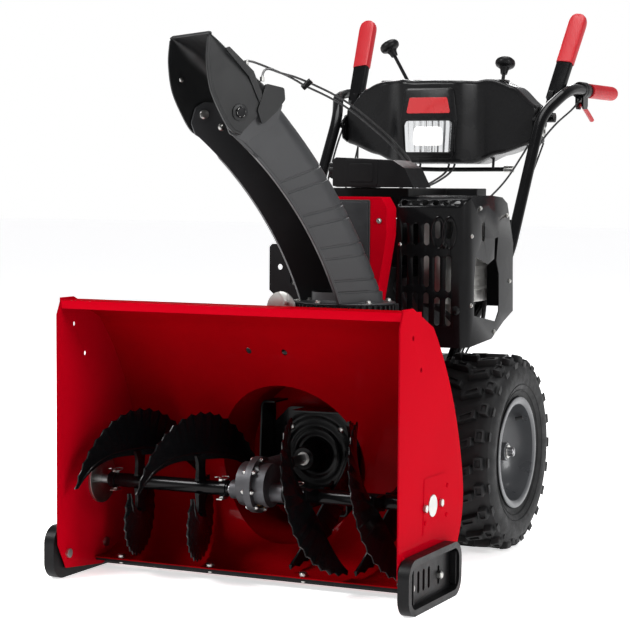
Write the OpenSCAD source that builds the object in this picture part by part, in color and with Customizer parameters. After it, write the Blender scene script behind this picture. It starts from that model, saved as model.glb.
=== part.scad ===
// Two stage snowblower: a ribbon auger feeds a fast impeller that throws the snow up a turning chute.
// Axes: +Z up, -Y ahead of the machine, +X the operator's left. Origin on the ground, mid-length.

/* [Auger housing] */
// Clearing width over the side plates
clear_w = 711; // [700:1:730]
// Height of the intake
intake_h = 540; // [536:1:544]
// Radius of the auger ribbons
auger_r = 146; // [140:1:148]
// Sheet thickness of the housing
sheet = 2.5; // [2:0.5:3]
// Inner radius of the impeller drum
drum_r = 156; // [154:1:158]

/* [Chute] */
// Angle of the chute from straight ahead, towards the operator's right
chute_turn = 34; // [20:1:40]
// Outside width of the chute channel
chute_w = 142; // [136:1:146]
// Wall of the moulded chute
chute_wall = 3; // [2.5:0.5:4]

/* [Wheels] */
// Outside radius of the tyre
tyre_r = 205; // [203:1:207]
// Width of the tyre
tyre_w = 165; // [160:1:168]
// Distance from the centre plane to the outside of the tyre
wheel_out = 335; // [334:1:338]

/* [Handles] */
// Radius of the handle tube
tube_r = 12.5; // [12:0.5:13]
// Radius of the hand grip
grip_r = 17; // [16:0.5:17]
// Height of the hand grips
grip_z = 985; // [983:1:987]

/* [Hidden] */

$fn = 48;
plate = 3;                       // thickness of heavy plate
gap = 0.3;                       // air between parts that move past each other
run = 0.05;                      // radial clearance of a running shaft
half_w = clear_w / 2;
front_y = -8;                    // front end of the skid shoes
rear_y = 1432;                   // rear end of the grips
mid_y = (front_y + rear_y) / 2;

auger_y = 156;                   // auger axis
auger_z = 177;
shell_r = 155.5;                 // outside radius of the trough round the auger
back_r = 600;                    // radius of the tall back sheet
back_lean = 12;                  // where the back sheet meets the trough
back_c = [auger_y - (back_r - shell_r) * cos(back_lean), auger_z - (back_r - shell_r) * sin(back_lean)];
lip_y = 12;                      // front edge of the top sheet
bend_y = 57;                     // where the top sheet turns down
shaft_r = 9.5;                   // auger shaft and crankshaft
hub_r = 14;                      // tube of the augers
drum_z = 215;                    // impeller axis
drum_back = 445;                 // rear face of the drum
impeller_shaft_r = 9.5;
neck_x = 84;                     // chute axis
neck_y = 372;
neck_r = 70;                     // outside radius of the discharge neck
flange_z = 511.7;                // top of the neck flange
ring_z = 512;                    // underside of the chute's gear ring
ring_h = 16;
ring_r = 100;                    // pitch radius of the gear ring
ring_teeth = 48;
worm_gap = 113;                  // gear ring axis to worm axis
chute_z = 532;                   // bottom of the channel
hinge_s = 286;                   // deflector hinge, ahead of the chute axis
hinge_z = 895;

wheel_y = 708;                   // axle
wheel_z = tyre_r;
axle_r = 9.5;
frame_w = 135;                   // half width of the frame box
frame_top = 398;
frame_front = drum_back;
frame_rear = 800;

crank_z = 500;                   // crankshaft height
disc_z = 300;                    // drive disc axis
hex_y = 637;                     // friction wheel shaft
friction_r = 60;
friction_x = 25;

grip_start = [292, 1272, grip_z];
grip_end = [304, rear_y, grip_z];
lever_pivot = [244, 1118, 918];
trigger_pivot = [286, 1243, 952];
shift_pivot = [134, 1085, 905];
stick_pivot = [-62, 1100, 950];
dash_half = 234;
dash_side = dash_half + 0.02;    // inner face of the handle brackets

// ---------- shared helpers ----------

module placed() { translate([0, -mid_y, 0]) children(); }

// Extrudes an outline drawn in (y, z) along x.
module along_x(x0, x1) { translate([x0, 0, 0]) rotate([90, 0, 90]) linear_extrude(x1 - x0) children(); }

// Extrudes an outline drawn in (x, z) along y.
module along_y(y0, y1) { translate([0, y1, 0]) rotate([90, 0, 0]) linear_extrude(y1 - y0) children(); }

module rod_x(x0, x1, y, z, r) { translate([x0, y, z]) rotate([0, 90, 0]) cylinder(r = r, h = x1 - x0); }

module rod_y(y0, y1, x, z, r) { translate([x, y0, z]) rotate([-90, 0, 0]) cylinder(r = r, h = y1 - y0); }

module box(lo, hi) { translate(lo) cube(hi - lo); }

module mirror_pair() {
    children();
    mirror([1, 0, 0]) children();
}

module bar(a, b, r) {
    d = b - a;
    translate(a) rotate([0, acos(d[2] / norm(d)), atan2(d[1], d[0])]) cylinder(r = r, h = norm(d));
}

// A round bar or cable swept through its points with a number of flat sides.
function unit(v) = v / norm(v);
function heading(p, i) = unit(p[min(i + 1, len(p) - 1)] - p[max(i - 1, 0)]);
function side_of(d) = unit(cross(d, [1, 0, 0]));
function sweep_ring(p, i, r, n) = let (d = heading(p, i), u = side_of(d), v = cross(d, u))
    [for (k = [0:n - 1]) p[i] + r * (cos(k * 360 / n) * u + sin(k * 360 / n) * v)];

module sweep(p, r, n = 8) {
    last = n * (len(p) - 1);
    polyhedron([for (i = [0:len(p) - 1]) each sweep_ring(p, i, r, n)],
        concat([[for (k = [0:n - 1]) k]], [for (i = [0:len(p) - 2], k = [0:n - 1], half = [0, 1]) half == 0
            ? [n * i + k, n * i + n + k, n * i + n + (k + 1) % n]
            : [n * i + k, n * i + n + (k + 1) % n, n * i + (k + 1) % n]],
            [[for (k = [n - 1:-1:0]) last + k]]), convexity = 8);
}

module rounded(w, h, r) {
    square([w - 2 * r, h], center = true);
    square([w, h - 2 * r], center = true);
    for (x = [-1, 1], y = [-1, 1]) translate([x * (w / 2 - r), y * (h / 2 - r)]) circle(r = r);
}

// A round band, such as a slot, between two points of an outline.
module slot(a, b, r) {
    d = b - a;
    translate(a) rotate(atan2(d[1], d[0])) translate([0, -r]) square([norm(d), 2 * r]);
    for (p = [a, b]) translate(p) circle(r = r);
}

module bolt_x(x, y, z, side, r = 7, h = 5) {
    translate([x, y, z]) rotate([0, side * 90, 0]) cylinder(r = r, h = h, $fn = 6);
}

// ---------- auger housing ----------

// Outline of the trough, the back sheet and the top sheet, inset by a distance.
function arc(c, r, from, to, n) = [for (i = [0:n]) let (a = from + (to - from) * i / n)
    [c[0] + r * cos(a), c[1] + r * sin(a)]];
function sheet_line(inset) = concat([[132, auger_z - shell_r + inset]],
    arc([auger_y, auger_z], shell_r - inset, -90, back_lean, 18),
    [for (i = [1:12]) arc(back_c, back_r - inset, back_lean, 44, 12)[i]],
    [[bend_y - inset * 0.2, intake_h - inset], [lip_y, intake_h - inset]]);

module housing_area(inset) {
    polygon(concat(sheet_line(inset), [[lip_y, auger_z], [100, 60]]));
}

function flip(list) = [for (i = [len(list) - 1:-1:0]) list[i]];

module housing_wrapper() {
    color("crimson") placed() difference() {
        union() {
            along_x(plate - half_w, half_w - plate) polygon(concat(sheet_line(0), flip(sheet_line(sheet))));
            box([plate - half_w, lip_y, intake_h - 15], [half_w - plate, lip_y + sheet, intake_h - 1]);
        }
        rod_y(200, 330, 0, drum_z, drum_r);
        for (x = [-47, 30]) rod_y(150, 260, x, 441, 6);
        for (x = [-300, -100, 100, 300]) translate([x, 146, 0]) cylinder(r = 4.2, h = 40);
    }
}

module side_plate() {
    color("crimson") placed() difference() {
        union() {
            along_x(half_w - plate, half_w) {
                housing_area(-4);
                polygon([[0, 68], [28, 19], [160, 5], [178, 8], [200, 60], [auger_y + 20, auger_z],
                    [100, 500], [bend_y + 40, intake_h - 4], [14, intake_h], [0, intake_h - 28]]);
            }
            along_x(half_w - 1, half_w + 1.5) polygon([[112, 128], [222, 128], [238, 142], [240, 214],
                [226, 231], [116, 231]]);
        }
        rod_x(half_w - 10, half_w + 10, auger_y, auger_z, 21);
        for (p = [[60, 491], [99, 431]]) rod_x(half_w - 10, half_w + 10, p[0], p[1], 5);
        for (y = [-38.5, 38.5]) rod_x(half_w - 10, half_w + 10, auger_y + y, auger_z, 4.3);
        for (y = [35, 172]) rod_x(half_w - 10, half_w + 10, y, 47, 4.3);
    }
}

module side_plate_left() { side_plate(); }

module side_plate_right() { mirror([1, 0, 0]) side_plate(); }

module impeller_drum() {
    color("crimson") placed() difference() {
        union() {
            rod_y(200, drum_back, 0, drum_z, drum_r + sheet);
            translate([neck_x, neck_y, drum_z]) cylinder(r = neck_r, h = flange_z - drum_z);
            translate([neck_x, neck_y, flange_z - plate]) cylinder(r = 92, h = plate);
        }
        rod_y(190, drum_back - sheet, 0, drum_z, drum_r);
        translate([neck_x, neck_y, drum_z]) cylinder(r = neck_r - 4, h = 400);
        rod_y(drum_back - 10, drum_back + 10, 0, drum_z, 20);
        along_x(-200, 200) housing_area(0);
        box([-200, 150, drum_z - 200], [200, 240, drum_z + 200]);
    }
}

module shave_plate() {
    color("dimgray") placed() difference() {
        along_x(plate - half_w, half_w - plate)
            polygon([[136, 21.3], [136, 16.3], [160, 16.3], [172, 4], [178, 6], [164, 21.3]]);
        for (x = [-300, -100, 100, 300]) translate([x, 146, 0]) cylinder(r = 4.2, h = 40);
    }
}

// Skid shoe: a deep rimmed oblong that can be turned over, with two bolt slots.
module skid_shoe() {
    color("black") placed() difference() {
        along_x(half_w + 2, half_w + 24) translate([121, 51]) rounded(258, 102, 34);
        along_x(half_w + 8, half_w + 30) translate([121, 51]) rounded(234, 78, 24);
        for (y = [35, 172]) along_x(half_w, half_w + 30) slot([y, 34], [y, 60], 4.5);
        for (y = [75, 100, 125]) along_x(half_w, half_w + 30) slot([y, 36], [y, 66], 5);
    }
}

module skid_shoe_left() { skid_shoe(); }

module skid_shoe_right() { mirror([1, 0, 0]) skid_shoe(); }

module housing_bolts() {
    color("silver") placed() {
        mirror_pair() {
            for (y = [35, 172]) {
                rod_x(half_w - plate - 4, half_w + 16, y, 47, 4);
                rod_x(half_w - plate - 5, half_w - plate - 0.02, y, 47, 9);
                bolt_x(half_w + 8.02, y, 47, 1, 8, 6);
            }
            for (y = [-38.5, 38.5]) {
                rod_x(half_w - 9, half_w + 4, auger_y + y, auger_z, 4);
                bolt_x(half_w + 1.52, auger_y + y, auger_z, 1, 7.5, 5);
            }
        }
        for (x = [-300, -100, 100, 300]) {
            translate([x, 146, 12]) cylinder(r = 4, h = 15);
            translate([x, 146, 24.02]) cylinder(r = 8, h = 4);
        }
        for (a = case_bolts) {
            rod_x(-13, 13, auger_y + 49 * cos(a), 190 + 49 * sin(a), 2.4);
            for (s = [-1, 1]) bolt_x(s * 7.02, auger_y + 49 * cos(a), 190 + 49 * sin(a), s, 4.5, 4);
        }
    }
}

module bearings() {
    color("darkgray") placed() {
        mirror_pair() {
            difference() {
                union() {
                    rod_x(half_w - plate - 6, half_w - plate - 0.1, auger_y, auger_z, 48);
                    rod_x(half_w - plate - 6, half_w + 3, auger_y, auger_z, 20.5);
                }
                rod_x(half_w - 20, half_w, auger_y, auger_z, shaft_r + run);
                for (y = [-38.5, 38.5]) rod_x(half_w - 20, half_w, auger_y + y, auger_z, 4.3);
            }
            difference() {
                union() {
                    rod_x(frame_w - 8, frame_w + 4, wheel_y, wheel_z, 13.5);
                    rod_x(frame_w + 0.1, frame_w + 4, wheel_y, wheel_z, 20);
                }
                rod_x(frame_w - 20, frame_w + 20, wheel_y, wheel_z, axle_r + run);
            }
        }
        difference() {
            union() {
                rod_y(drum_back - 8, drum_back + plate + 4, 0, drum_z, 19.5);
                rod_y(drum_back + plate + 0.1, drum_back + plate + 4, 0, drum_z, 33);
            }
            rod_y(drum_back - 20, drum_back + 20, 0, drum_z, impeller_shaft_r + run);
        }
    }
}

// ---------- auger ----------

module auger_shaft() {
    color("dimgray") placed() rod_x(1 - half_w, half_w - 1, auger_y, auger_z, shaft_r);
}

ribbon_t = 4;
steps = 36;
// A ribbon is a crescent: pointed at both ends and widest half way, with a saw edge of small teeth.
function tooth_r(i) = i % 2 == 0 ? auger_r : auger_r - 6;
function inner_r(i) = 52 + 84 * pow(abs(2 * i / steps - 1), 2.2);
function ribbon_ring(i, x0, advance, a0) =
    let (a = a0 + 180 * i / steps, x = x0 + advance * i / steps)
    [for (q = [[inner_r(i), 0], [tooth_r(i), 0], [tooth_r(i), ribbon_t], [inner_r(i), ribbon_t]])
        [x + q[1], q[0] * cos(a), q[0] * sin(a)]];

// Half turn of ribbon about the auger axis; the angle counts from +y towards +z.
module ribbon(x0, advance, a0) {
    rings = [for (i = [0:steps]) each ribbon_ring(i, x0, advance, a0)];
    sides = [for (i = [0:steps - 1], k = [0:3], half = [0, 1]) half == 0
        ? [4 * i + k, 4 * i + (k + 1) % 4, 4 * i + 4 + (k + 1) % 4]
        : [4 * i + k, 4 * i + 4 + (k + 1) % 4, 4 * i + 4 + k]];
    last = 4 * steps;
    translate([0, auger_y, auger_z])
        polyhedron(rings, concat([[3, 2, 1, 0]], sides, [[last, last + 1, last + 2, last + 3]]),
            convexity = 6);
}

// One side of the auger: a tube with two pairs of ribbons, from the gearbox out to the plate.
module auger_side(a0) {
    difference() {
        union() {
            rod_x(64, 330, auger_y, auger_z, hub_r);
            for (seg = [0, 1], turn = [0, 180]) {
                x0 = 66 + seg * 136;
                ribbon(x0, 118, a0 + turn);
                translate([x0 + 59, auger_y, auger_z]) rotate([a0 + turn + 90, 0, 0])
                    translate([-3, hub_r - 3, -16]) cube([10, 50, 32]);
            }
        }
        rod_x(0, 400, auger_y, auger_z, shaft_r + 0.1);
        for (x = [80, 318]) translate([x, auger_y, auger_z - 60]) cylinder(r = 4, h = 120);
    }
}

module auger_left() { color("black") placed() auger_side(90); }

module auger_right() { color("black") placed() mirror([1, 0, 0]) auger_side(0); }

module shear_pins() {
    color("silver") placed() for (x = [80, 318], s = [-1, 1]) translate([s * x, auger_y, auger_z]) {
        translate([0, 0, hub_r + 0.3]) cylinder(r = 7, h = 4, $fn = 6);
        translate([0, 0, shaft_r + 0.3]) cylinder(r = 3.8, h = 7);
        translate([0, 0, -19]) cylinder(r = 3.8, h = 19 - shaft_r - 0.3);
        translate([-6, -12, -21.5]) cube([12, 24, 2]);
        translate([-3.8, -3.8, -20]) cube([7.6, 7.6, 3]);
    }
}

// ---------- gearbox and impeller ----------

wheel_teeth = 20;
case_bolts = [100:45:325];
worm_lead = 2 * 3.1416 * 2 * 27 / wheel_teeth;

module gear_half() {
    difference() {
        union() {
            rod_x(0.02, 30, auger_y, 190, 42);
            rod_x(0.02, 7, auger_y, 190, 54);
            rod_x(0.02, 56, auger_y, auger_z, 18);
            rod_y(auger_y, 268, 0, drum_z, 21);
        }
        box([-100, 0, 0], [0.02, 400, 400]);
        rod_x(-1, 20, auger_y, auger_z, 32);
        rod_x(-1, 60, auger_y, auger_z, shaft_r + run);
        rod_y(auger_y - 32, auger_y + 32, 0, drum_z, 15);
        rod_y(auger_y - 34.5, 300, 0, drum_z, impeller_shaft_r + run);
        for (a = case_bolts) rod_x(-1, 40, auger_y + 49 * cos(a), 190 + 49 * sin(a), 2.6);
    }
}

module gearbox_case_left() { color("darkgray") placed() gear_half(); }

module gearbox_case_right() { color("silver") placed() mirror([1, 0, 0]) gear_half(); }

module worm_wheel() {
    color("goldenrod") placed() difference() {
        translate([-4, auger_y, auger_z]) rotate([90, 0, 90]) linear_extrude(8) {
            circle(r = 24);
            for (i = [0:wheel_teeth - 1]) rotate(360 * (i + 0.5) / wheel_teeth)
                polygon([[22, -2], [28.6, -0.9], [28.6, 0.9], [22, 2]]);
        }
        rod_x(-10, 10, auger_y, auger_z, shaft_r + 0.05);
    }
}

// Worm thread about z: thin starts on a core, one lead per turn.
module worm(core, tip, lead, starts, height, width) {
    cylinder(r = core, h = height);
    linear_extrude(height, twist = -360 * height / lead, slices = ceil(height / lead * 24), $fn = 8)
        for (s = [0:starts - 1]) rotate(360 * s / starts)
            polygon([[core - 2, -width], [tip, -width / 2], [tip, width / 2], [core - 2, width]]);
}

module impeller_shaft() {
    color("dimgray") placed() {
        rod_y(auger_y - 34, 535, 0, drum_z, impeller_shaft_r - 1.2);
        rod_y(auger_y + 33, 535, 0, drum_z, impeller_shaft_r);
        translate([0, auger_y - 25.44, drum_z]) rotate([-90, 90, 0])
            worm(8.4, 12.6, worm_lead, 2, 50.88, 3);
    }
}

module impeller() {
    color("black") placed() translate([0, 0, drum_z]) difference() {
        union() {
            along_y(412, 416) intersection() {
                square(192, center = true);
                rotate(45) square(222, center = true);
            }
            rod_y(350, 430, 0, 0, 24);
            rod_y(390, 414, 0, 0, 58);
            for (a = [0:90:270]) rotate([0, a, 0]) {
                box([-24, 345, 93], [112, 416, 97]);
                box([108, 345, 66], [112, 416, 97]);
            }
        }
        rod_y(300, 440, 0, 0, impeller_shaft_r + 0.05);
        for (a = [45:90:315]) rotate([0, a, 0]) rod_y(390, 420, 0, 78, 7);
    }
}

// A grooved pulley about z.
module pulley(r, groove, hub, height, bore) {
    difference() {
        union() {
            rotate_extrude() polygon([[bore, 0], [r, 0], [r, 2], [r - groove, 4], [r - groove, 14],
                [r, 16], [r, 18], [bore, 18]]);
            cylinder(r = hub, h = height);
        }
        translate([0, 0, -1]) cylinder(r = bore, h = height + 2);
    }
}

module impeller_pulley() {
    color("dimgray") placed() translate([0, 494, drum_z]) rotate([-90, 0, 0])
        pulley(96, 14, 22, 30, impeller_shaft_r + 0.05);
}

function tangent(r1, z1, r2, z2) = acos((r2 - r1) / (z1 - z2));

module belt_outline(r1, r2) {
    a = tangent(r1, crank_z, r2, drum_z);
    translate([0, crank_z]) circle(r = r1);
    translate([0, drum_z]) circle(r = r2);
    polygon([[r1 * sin(a), crank_z + r1 * cos(a)], [-r1 * sin(a), crank_z + r1 * cos(a)],
        [-r2 * sin(a), drum_z + r2 * cos(a)], [r2 * sin(a), drum_z + r2 * cos(a)]]);
}

module auger_belt() {
    color("black") placed() along_y(498.5, 507.5) difference() {
        belt_outline(38, 94);
        belt_outline(30.4, 82.4);
    }
}

module engine_pulley() {
    color("dimgray") placed() {
        translate([0, 494, crank_z]) rotate([-90, 0, 0]) pulley(40, 10, 20, 30, shaft_r + 0.05);
        rod_y(492, 564, 0, crank_z, shaft_r);
    }
}

// ---------- chute ----------

// Puts children in the chute's own frame: axis at the origin, discharge towards -y.
module on_chute() {
    translate([neck_x, neck_y, 0]) rotate([0, 0, -chute_turn]) children();
}

// Extrudes an outline drawn in (ahead of the axis, height) across the chute.
module across_chute(x0, x1) { mirror([0, 1, 0]) along_x(x0, x1) children(); }

// Point on a curve that starts at p with heading h0 and bends at radius r to heading h.
function bend(p, r, h0, h) = [p[0] + r * (sin(h0) - sin(h)), p[1] + r * (cos(h) - cos(h0))];
back_start = [-63, chute_z];
front_start = [66, chute_z];
back_curve = [for (h = [68:-2.875:45]) bend(back_start, 1170, 68, h)];
inner_curve = [for (h = [68:-2.875:45])
    bend(back_start + [chute_wall / sin(68), 0], 1170 - chute_wall, 68, h)];
front_curve = [for (h = [70:-4:38]) bend(front_start, 730, 70, h)];

module chute() {
    ear = [[312, 878], [303, 910], [284, 920], [252, 918], [222, 934]];
    wall = concat(front_curve, ear, flip(back_curve));
    color("dimgray") placed() on_chute() difference() {
        union() {
            for (s = [-1, 1]) across_chute(s * chute_w / 2 - (s > 0 ? chute_wall : 0),
                s * chute_w / 2 + (s > 0 ? 0 : chute_wall)) polygon(wall);
            across_chute(-chute_w / 2, chute_w / 2) polygon(concat(back_curve, flip(inner_curve)));
            for (s = [-1, 1]) across_chute(s * (chute_w / 2 + 3) - 3, s * (chute_w / 2 + 3) + 3)
                polygon(concat([for (i = [0:7]) front_curve[i] - [4, 0]],
                    [for (i = [7:-1:0]) front_curve[i]]));
            translate([0, 0, chute_z - 4]) cylinder(r = 96, h = 4);
            difference() {
                translate([0, 0, chute_z - 0.01]) cylinder(r = 70, h = 24);
                translate([-100, -120, chute_z - 1]) cube([200, 56 + 64, 40]);
            }
        }
        translate([0, 0, chute_z - 10]) cylinder(r = 64, h = 60);
        rod_x(-100, 100, -hinge_s, hinge_z, 5.3);
    }
}

module chute_ring() {
    color("black") placed() on_chute() translate([0, 0, ring_z]) linear_extrude(ring_h - 0.02) difference() {
        union() {
            circle(r = 97);
            for (i = [0:ring_teeth - 1]) rotate(360 * (i + 0.5) / ring_teeth + chute_turn)
                polygon([[95, -3.4], [102.6, -1.9], [102.6, 1.9], [95, 3.4]]);
        }
        circle(r = neck_r + 3);
    }
}

// Deflector: a hood over the top of the chute, open ahead and below.
hood_out = chute_w / 2 + 8;
hood_side = [[350, 1042], [356, 990], [348, 937], [325, 888], [305, 858], [286, 852], [247, 868],
    [208, 900], [192, 922], [194, 944], [222, 950], [273, 990]];

module deflector() {
    color("dimgray") placed() on_chute() difference() {
        union() {
            for (s = [-1, 1]) across_chute(s * hood_out - (s > 0 ? chute_wall : 0),
                s * hood_out + (s > 0 ? 0 : chute_wall)) polygon(hood_side);
            across_chute(-hood_out, hood_out) polygon([[350, 1042], [273, 990], [222, 950], [196, 946],
                [197, 942.5], [223, 946.5], [275, 986.5], [351, 1038.5]]);
        }
        rod_x(-100, 100, -hinge_s, hinge_z, 5.3);
    }
}

module deflector_pins() {
    color("silver") placed() on_chute() for (s = [-1, 1]) {
        rod_x(s > 0 ? 62 : -86, s > 0 ? 86 : -62, -hinge_s, hinge_z, 5.25);
        rod_x(s > 0 ? 62 : -67.9, s > 0 ? 67.9 : -62, -hinge_s, hinge_z, 9);
        rod_x(s > 0 ? hood_out + gap : -86, s > 0 ? 86 : -hood_out - gap, -hinge_s, hinge_z, 9);
    }
}

worm_x = neck_x - worm_gap;
chute_lead = 2 * 3.1416 * ring_r / ring_teeth;

module chute_worm() {
    color("silver") placed() translate([worm_x, neck_y, ring_z + ring_h / 2]) rotate([-90, 0, 0]) {
        translate([0, 0, -2 * chute_lead]) worm(8.6, 12.6, chute_lead, 1, 4 * chute_lead, 1.8);
        translate([0, 0, -64]) cylinder(r = 6, h = 146);
        translate([0, 0, -67]) cylinder(r = 31, h = 3);
        translate([12, -10, -70]) cylinder(r = 6, h = 3.5, $fn = 6);
    }
}

module chute_bracket() {
    color("black") placed() difference() {
        union() {
            box([-60, 322, 488], [20, 450, 491]);
            box([worm_x - 15, 322, 488], [worm_x + 15, 326, ring_z + 22]);
            along_y(446, 450) polygon([[worm_x + 15, 488], [worm_x + 15, 534], [-50, 545], [-78, 560],
                [-78, 634], [-84, 640], [-120, 640], [-126, 634], [-126, 545], [-60, 488]]);
        }
        rod_y(300, 460, worm_x, ring_z + ring_h / 2, 6 + run);
        translate([neck_x, neck_y, 400]) cylinder(r = neck_r + 0.3, h = 200);
        rod_y(440, 460, -102, 593, 6);
    }
}

// ---------- frame and friction drive ----------

cover = [[-97, 399], [97, 399], [97, 520], [121, 660], [121, 716], [108, 738], [-108, 738], [-121, 716],
    [-121, 660], [-97, 520]];

module belt_cover() {
    color("crimson") placed() difference() {
        along_y(482, 530) polygon(cover);
        along_y(482 + sheet, 540) polygon([for (p = cover)
            [p[0] - sign(p[0]) * sheet, p[1] < 400 ? 390 : p[1] - sheet]]);
    }
}

module frame_box() {
    side = [[frame_front, 112], [frame_front, frame_top], [frame_rear, frame_top], [frame_rear, 210],
        [750, 130], [frame_rear - 70, 112]];
    color("black") placed() {
        difference() {
            union() {
                for (s = [-1, 1]) along_x(s > 0 ? frame_w - plate : -frame_w,
                    s > 0 ? frame_w : plate - frame_w) polygon(side);
                box([-frame_w, frame_front, 112], [frame_w, frame_front + plate, frame_top]);
                box([-frame_w, 540, frame_top - plate], [frame_w, frame_rear, frame_top]);
                box([-frame_w, frame_rear - plate, 210], [frame_w, frame_rear, frame_top]);
            }
            rod_x(-200, 200, wheel_y, wheel_z, 13.6);
            rod_x(-200, 200, hex_y, disc_z, 8);
            rod_y(430, 460, 0, drum_z, 20);
        }
        box([plate - frame_w + gap, frame_front + 8, 108], [frame_w - plate - gap, 725, 111]);
        difference() {
            box([-60, 542, disc_z - 60], [60, 548, disc_z + 60]);
            rod_y(530, 560, 0, disc_z, 8 + run);
        }
        for (s = [-1, 1])
            box([s * 97 - 37, 542, disc_z - 8], [s * 97 + 37 - (s > 0 ? 2 : 0), 548, disc_z + 8]);
    }
}

module axle_half() {
    rod_x(4, 318, wheel_y, wheel_z, axle_r);
    rod_x(10, 120, wheel_y, wheel_z, 14);
    rod_x(60, 70, wheel_y, wheel_z, 54);
}

module axle_left() { color("silver") placed() axle_half(); }

module axle_right() { color("silver") placed() mirror([1, 0, 0]) axle_half(); }

rim_mid = wheel_out - tyre_w / 2;

module rim() {
    color("gray") placed() translate([rim_mid, wheel_y, wheel_z]) rotate([0, 90, 0]) {
        rotate_extrude($fn = 72) polygon([[101, -75], [117, -75], [117, -71.3], [107.6, -68],
            [107.6, 68], [117, 71.3], [117, 75], [101, 75], [101, 50], [84, 14], [60, 2], [19, 2],
            [19, 52], [axle_r + 0.1, 52], [axle_r + 0.1, -30], [19, -30], [19, -2], [62, -2], [88, 12],
            [103, 46]]);
    }
}

module rim_left() { rim(); }

module rim_right() { mirror([1, 0, 0]) rim(); }

module tyre() {
    k = tyre_w / 2;
    color([0.12, 0.12, 0.12]) placed() translate([rim_mid, wheel_y, wheel_z]) rotate([0, 90, 0])
        rotate_extrude($fn = 96) polygon([[108, 57], [108, 68], [128, 71], [150, k], [181, k],
            [198, k - 8], [tyre_r, k - 24], [tyre_r, 24 - k], [198, 8 - k], [181, -k], [150, -k],
            [128, -71], [108, -68], [108, -57], [128, -59], [150, 12 - k], [182, 12 - k], [193, 26 - k],
            [193, k - 26], [182, k - 12], [150, k - 12], [128, 59]]);
}

module tyre_left() { tyre(); }

module tyre_right() { mirror([1, 0, 0]) tyre(); }

module drive_disc() {
    color("silver") placed() {
        rod_y(570, 576, 0, disc_z, 78);
        rod_y(536, 571, 0, disc_z, 8);
        rod_y(550, 571, 0, disc_z, 18);
    }
}

module hex_shaft() {
    color("silver") placed() {
        translate([-115, hex_y, disc_z]) rotate([0, 90, 0]) cylinder(r = 9, h = 230, $fn = 6);
        rod_x(-frame_w - 6, frame_w + 6, hex_y, disc_z, 8 - run);
    }
}

module friction_wheel() {
    color("dimgray") placed() difference() {
        union() {
            rod_x(friction_x - 6, friction_x + 6, hex_y, disc_z, friction_r);
            rod_x(friction_x - 14, friction_x + 14, hex_y, disc_z, 20);
        }
        translate([friction_x - 20, hex_y, disc_z]) rotate([0, 90, 0]) cylinder(r = 9.3, h = 40, $fn = 6);
    }
}

// ---------- engine ----------

module engine_block() {
    color("dimgray") placed() difference() {
        union() {
            box([-110, 560, frame_top + 0.02], [120, 770, frame_top + 16]);
            box([-92, 542, frame_top + 10], [92, 760, 592]);
            rod_y(540, 562, 0, crank_z, 44);
            translate([30, 0, 470]) rotate([0, 65, 0]) box([-55, 590, 40], [55, 730, 122]);
            box([-60, 600, 590], [70, 720, 690]);
            for (i = [0:3]) translate([30, 0, 470]) rotate([0, 65, 0])
                box([-60, 584, 62 + i * 13], [60, 736, 66 + i * 13]);
        }
        rod_y(530, 566, 0, crank_z, shaft_r + run);
    }
}

// Blower housing with the recoil starter on the rear of the engine.
module recoil_cover() {
    color("black") placed() difference() {
        union() {
            rod_y(762, 830, 0, crank_z, 118);
            rod_y(828, 858, 0, crank_z, 84);
            box([-118, 762, crank_z], [118, 828, 680]);
        }
        rod_y(761, 826, 0, crank_z, 108);
        box([-110, 761, crank_z], [110, 822, 672]);
        for (a = [0:30:330]) translate([0, 0, crank_z]) rotate([0, a, 0]) rod_y(840, 860, 0, 62, 8);
        box([-130, 750, 350], [130, 870, frame_top + 16.4]);
    }
}

module starter_grip() {
    color("black") placed() {
        rod_y(859, 884, 0, crank_z, 9);
        rod_x(-42, 42, 890, crank_z, 11);
    }
}

module fuel_tank() {
    color("dimgray") placed() difference() {
        union() {
            box([-100, 600, 694], [118, 836, 756]);
            box([100, 812, 700], [190, 870, 756]);
        }
        box([-96, 604, 698], [114, 832, 752]);
        translate([-50, 760, 740]) cylinder(r = 24, h = 30);
    }
}

module fuel_cap() {
    color("black") placed() translate([-50, 760, 756.3]) {
        cylinder(r = 33, h = 20);
        translate([0, 0, -12]) cylinder(r = 22, h = 13);
    }
}

elbow = [[190, 660, 530], [197, 660, 492], [196, 660, 470], [184, 660, 454], [160, 660, 447]];

module muffler() {
    color("silver") placed() difference() {
        union() {
            box([160, 575, 520], [240, 745, 690]);
            sweep(elbow, 17, 24);
        }
        sweep(concat([[190, 660, 540]], elbow, [[150, 660, 444.5]]), 14, 24);
        box([164, 579, 532], [236, 741, 686]);
    }
}

// Side and plan outlines of the heat guard; the sheet is what lies between the outer and inner ones.
guard_in = 122.5;
guard_out = 277;
guard_side = [[530, 434], [530, 716], [549, 738.5], [668, 742], [732, 738], [764, 725], [803, 640],
    [803, 587], [807, 495], [749, 476], [676, 444]];
guard_room = [[532, 400], [532, 715.3], [550, 736.3], [668, 739.8], [731.5, 736], [763, 723.2], [840, 700],
    [840, 400]];

module guard_plan(x, y0) {
    translate([0, 0, 400]) linear_extrude(400) polygon([[100, y0], [x - 17, y0], [x, y0 + 17], [x, 900],
        [100, 900]]);
}

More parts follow.
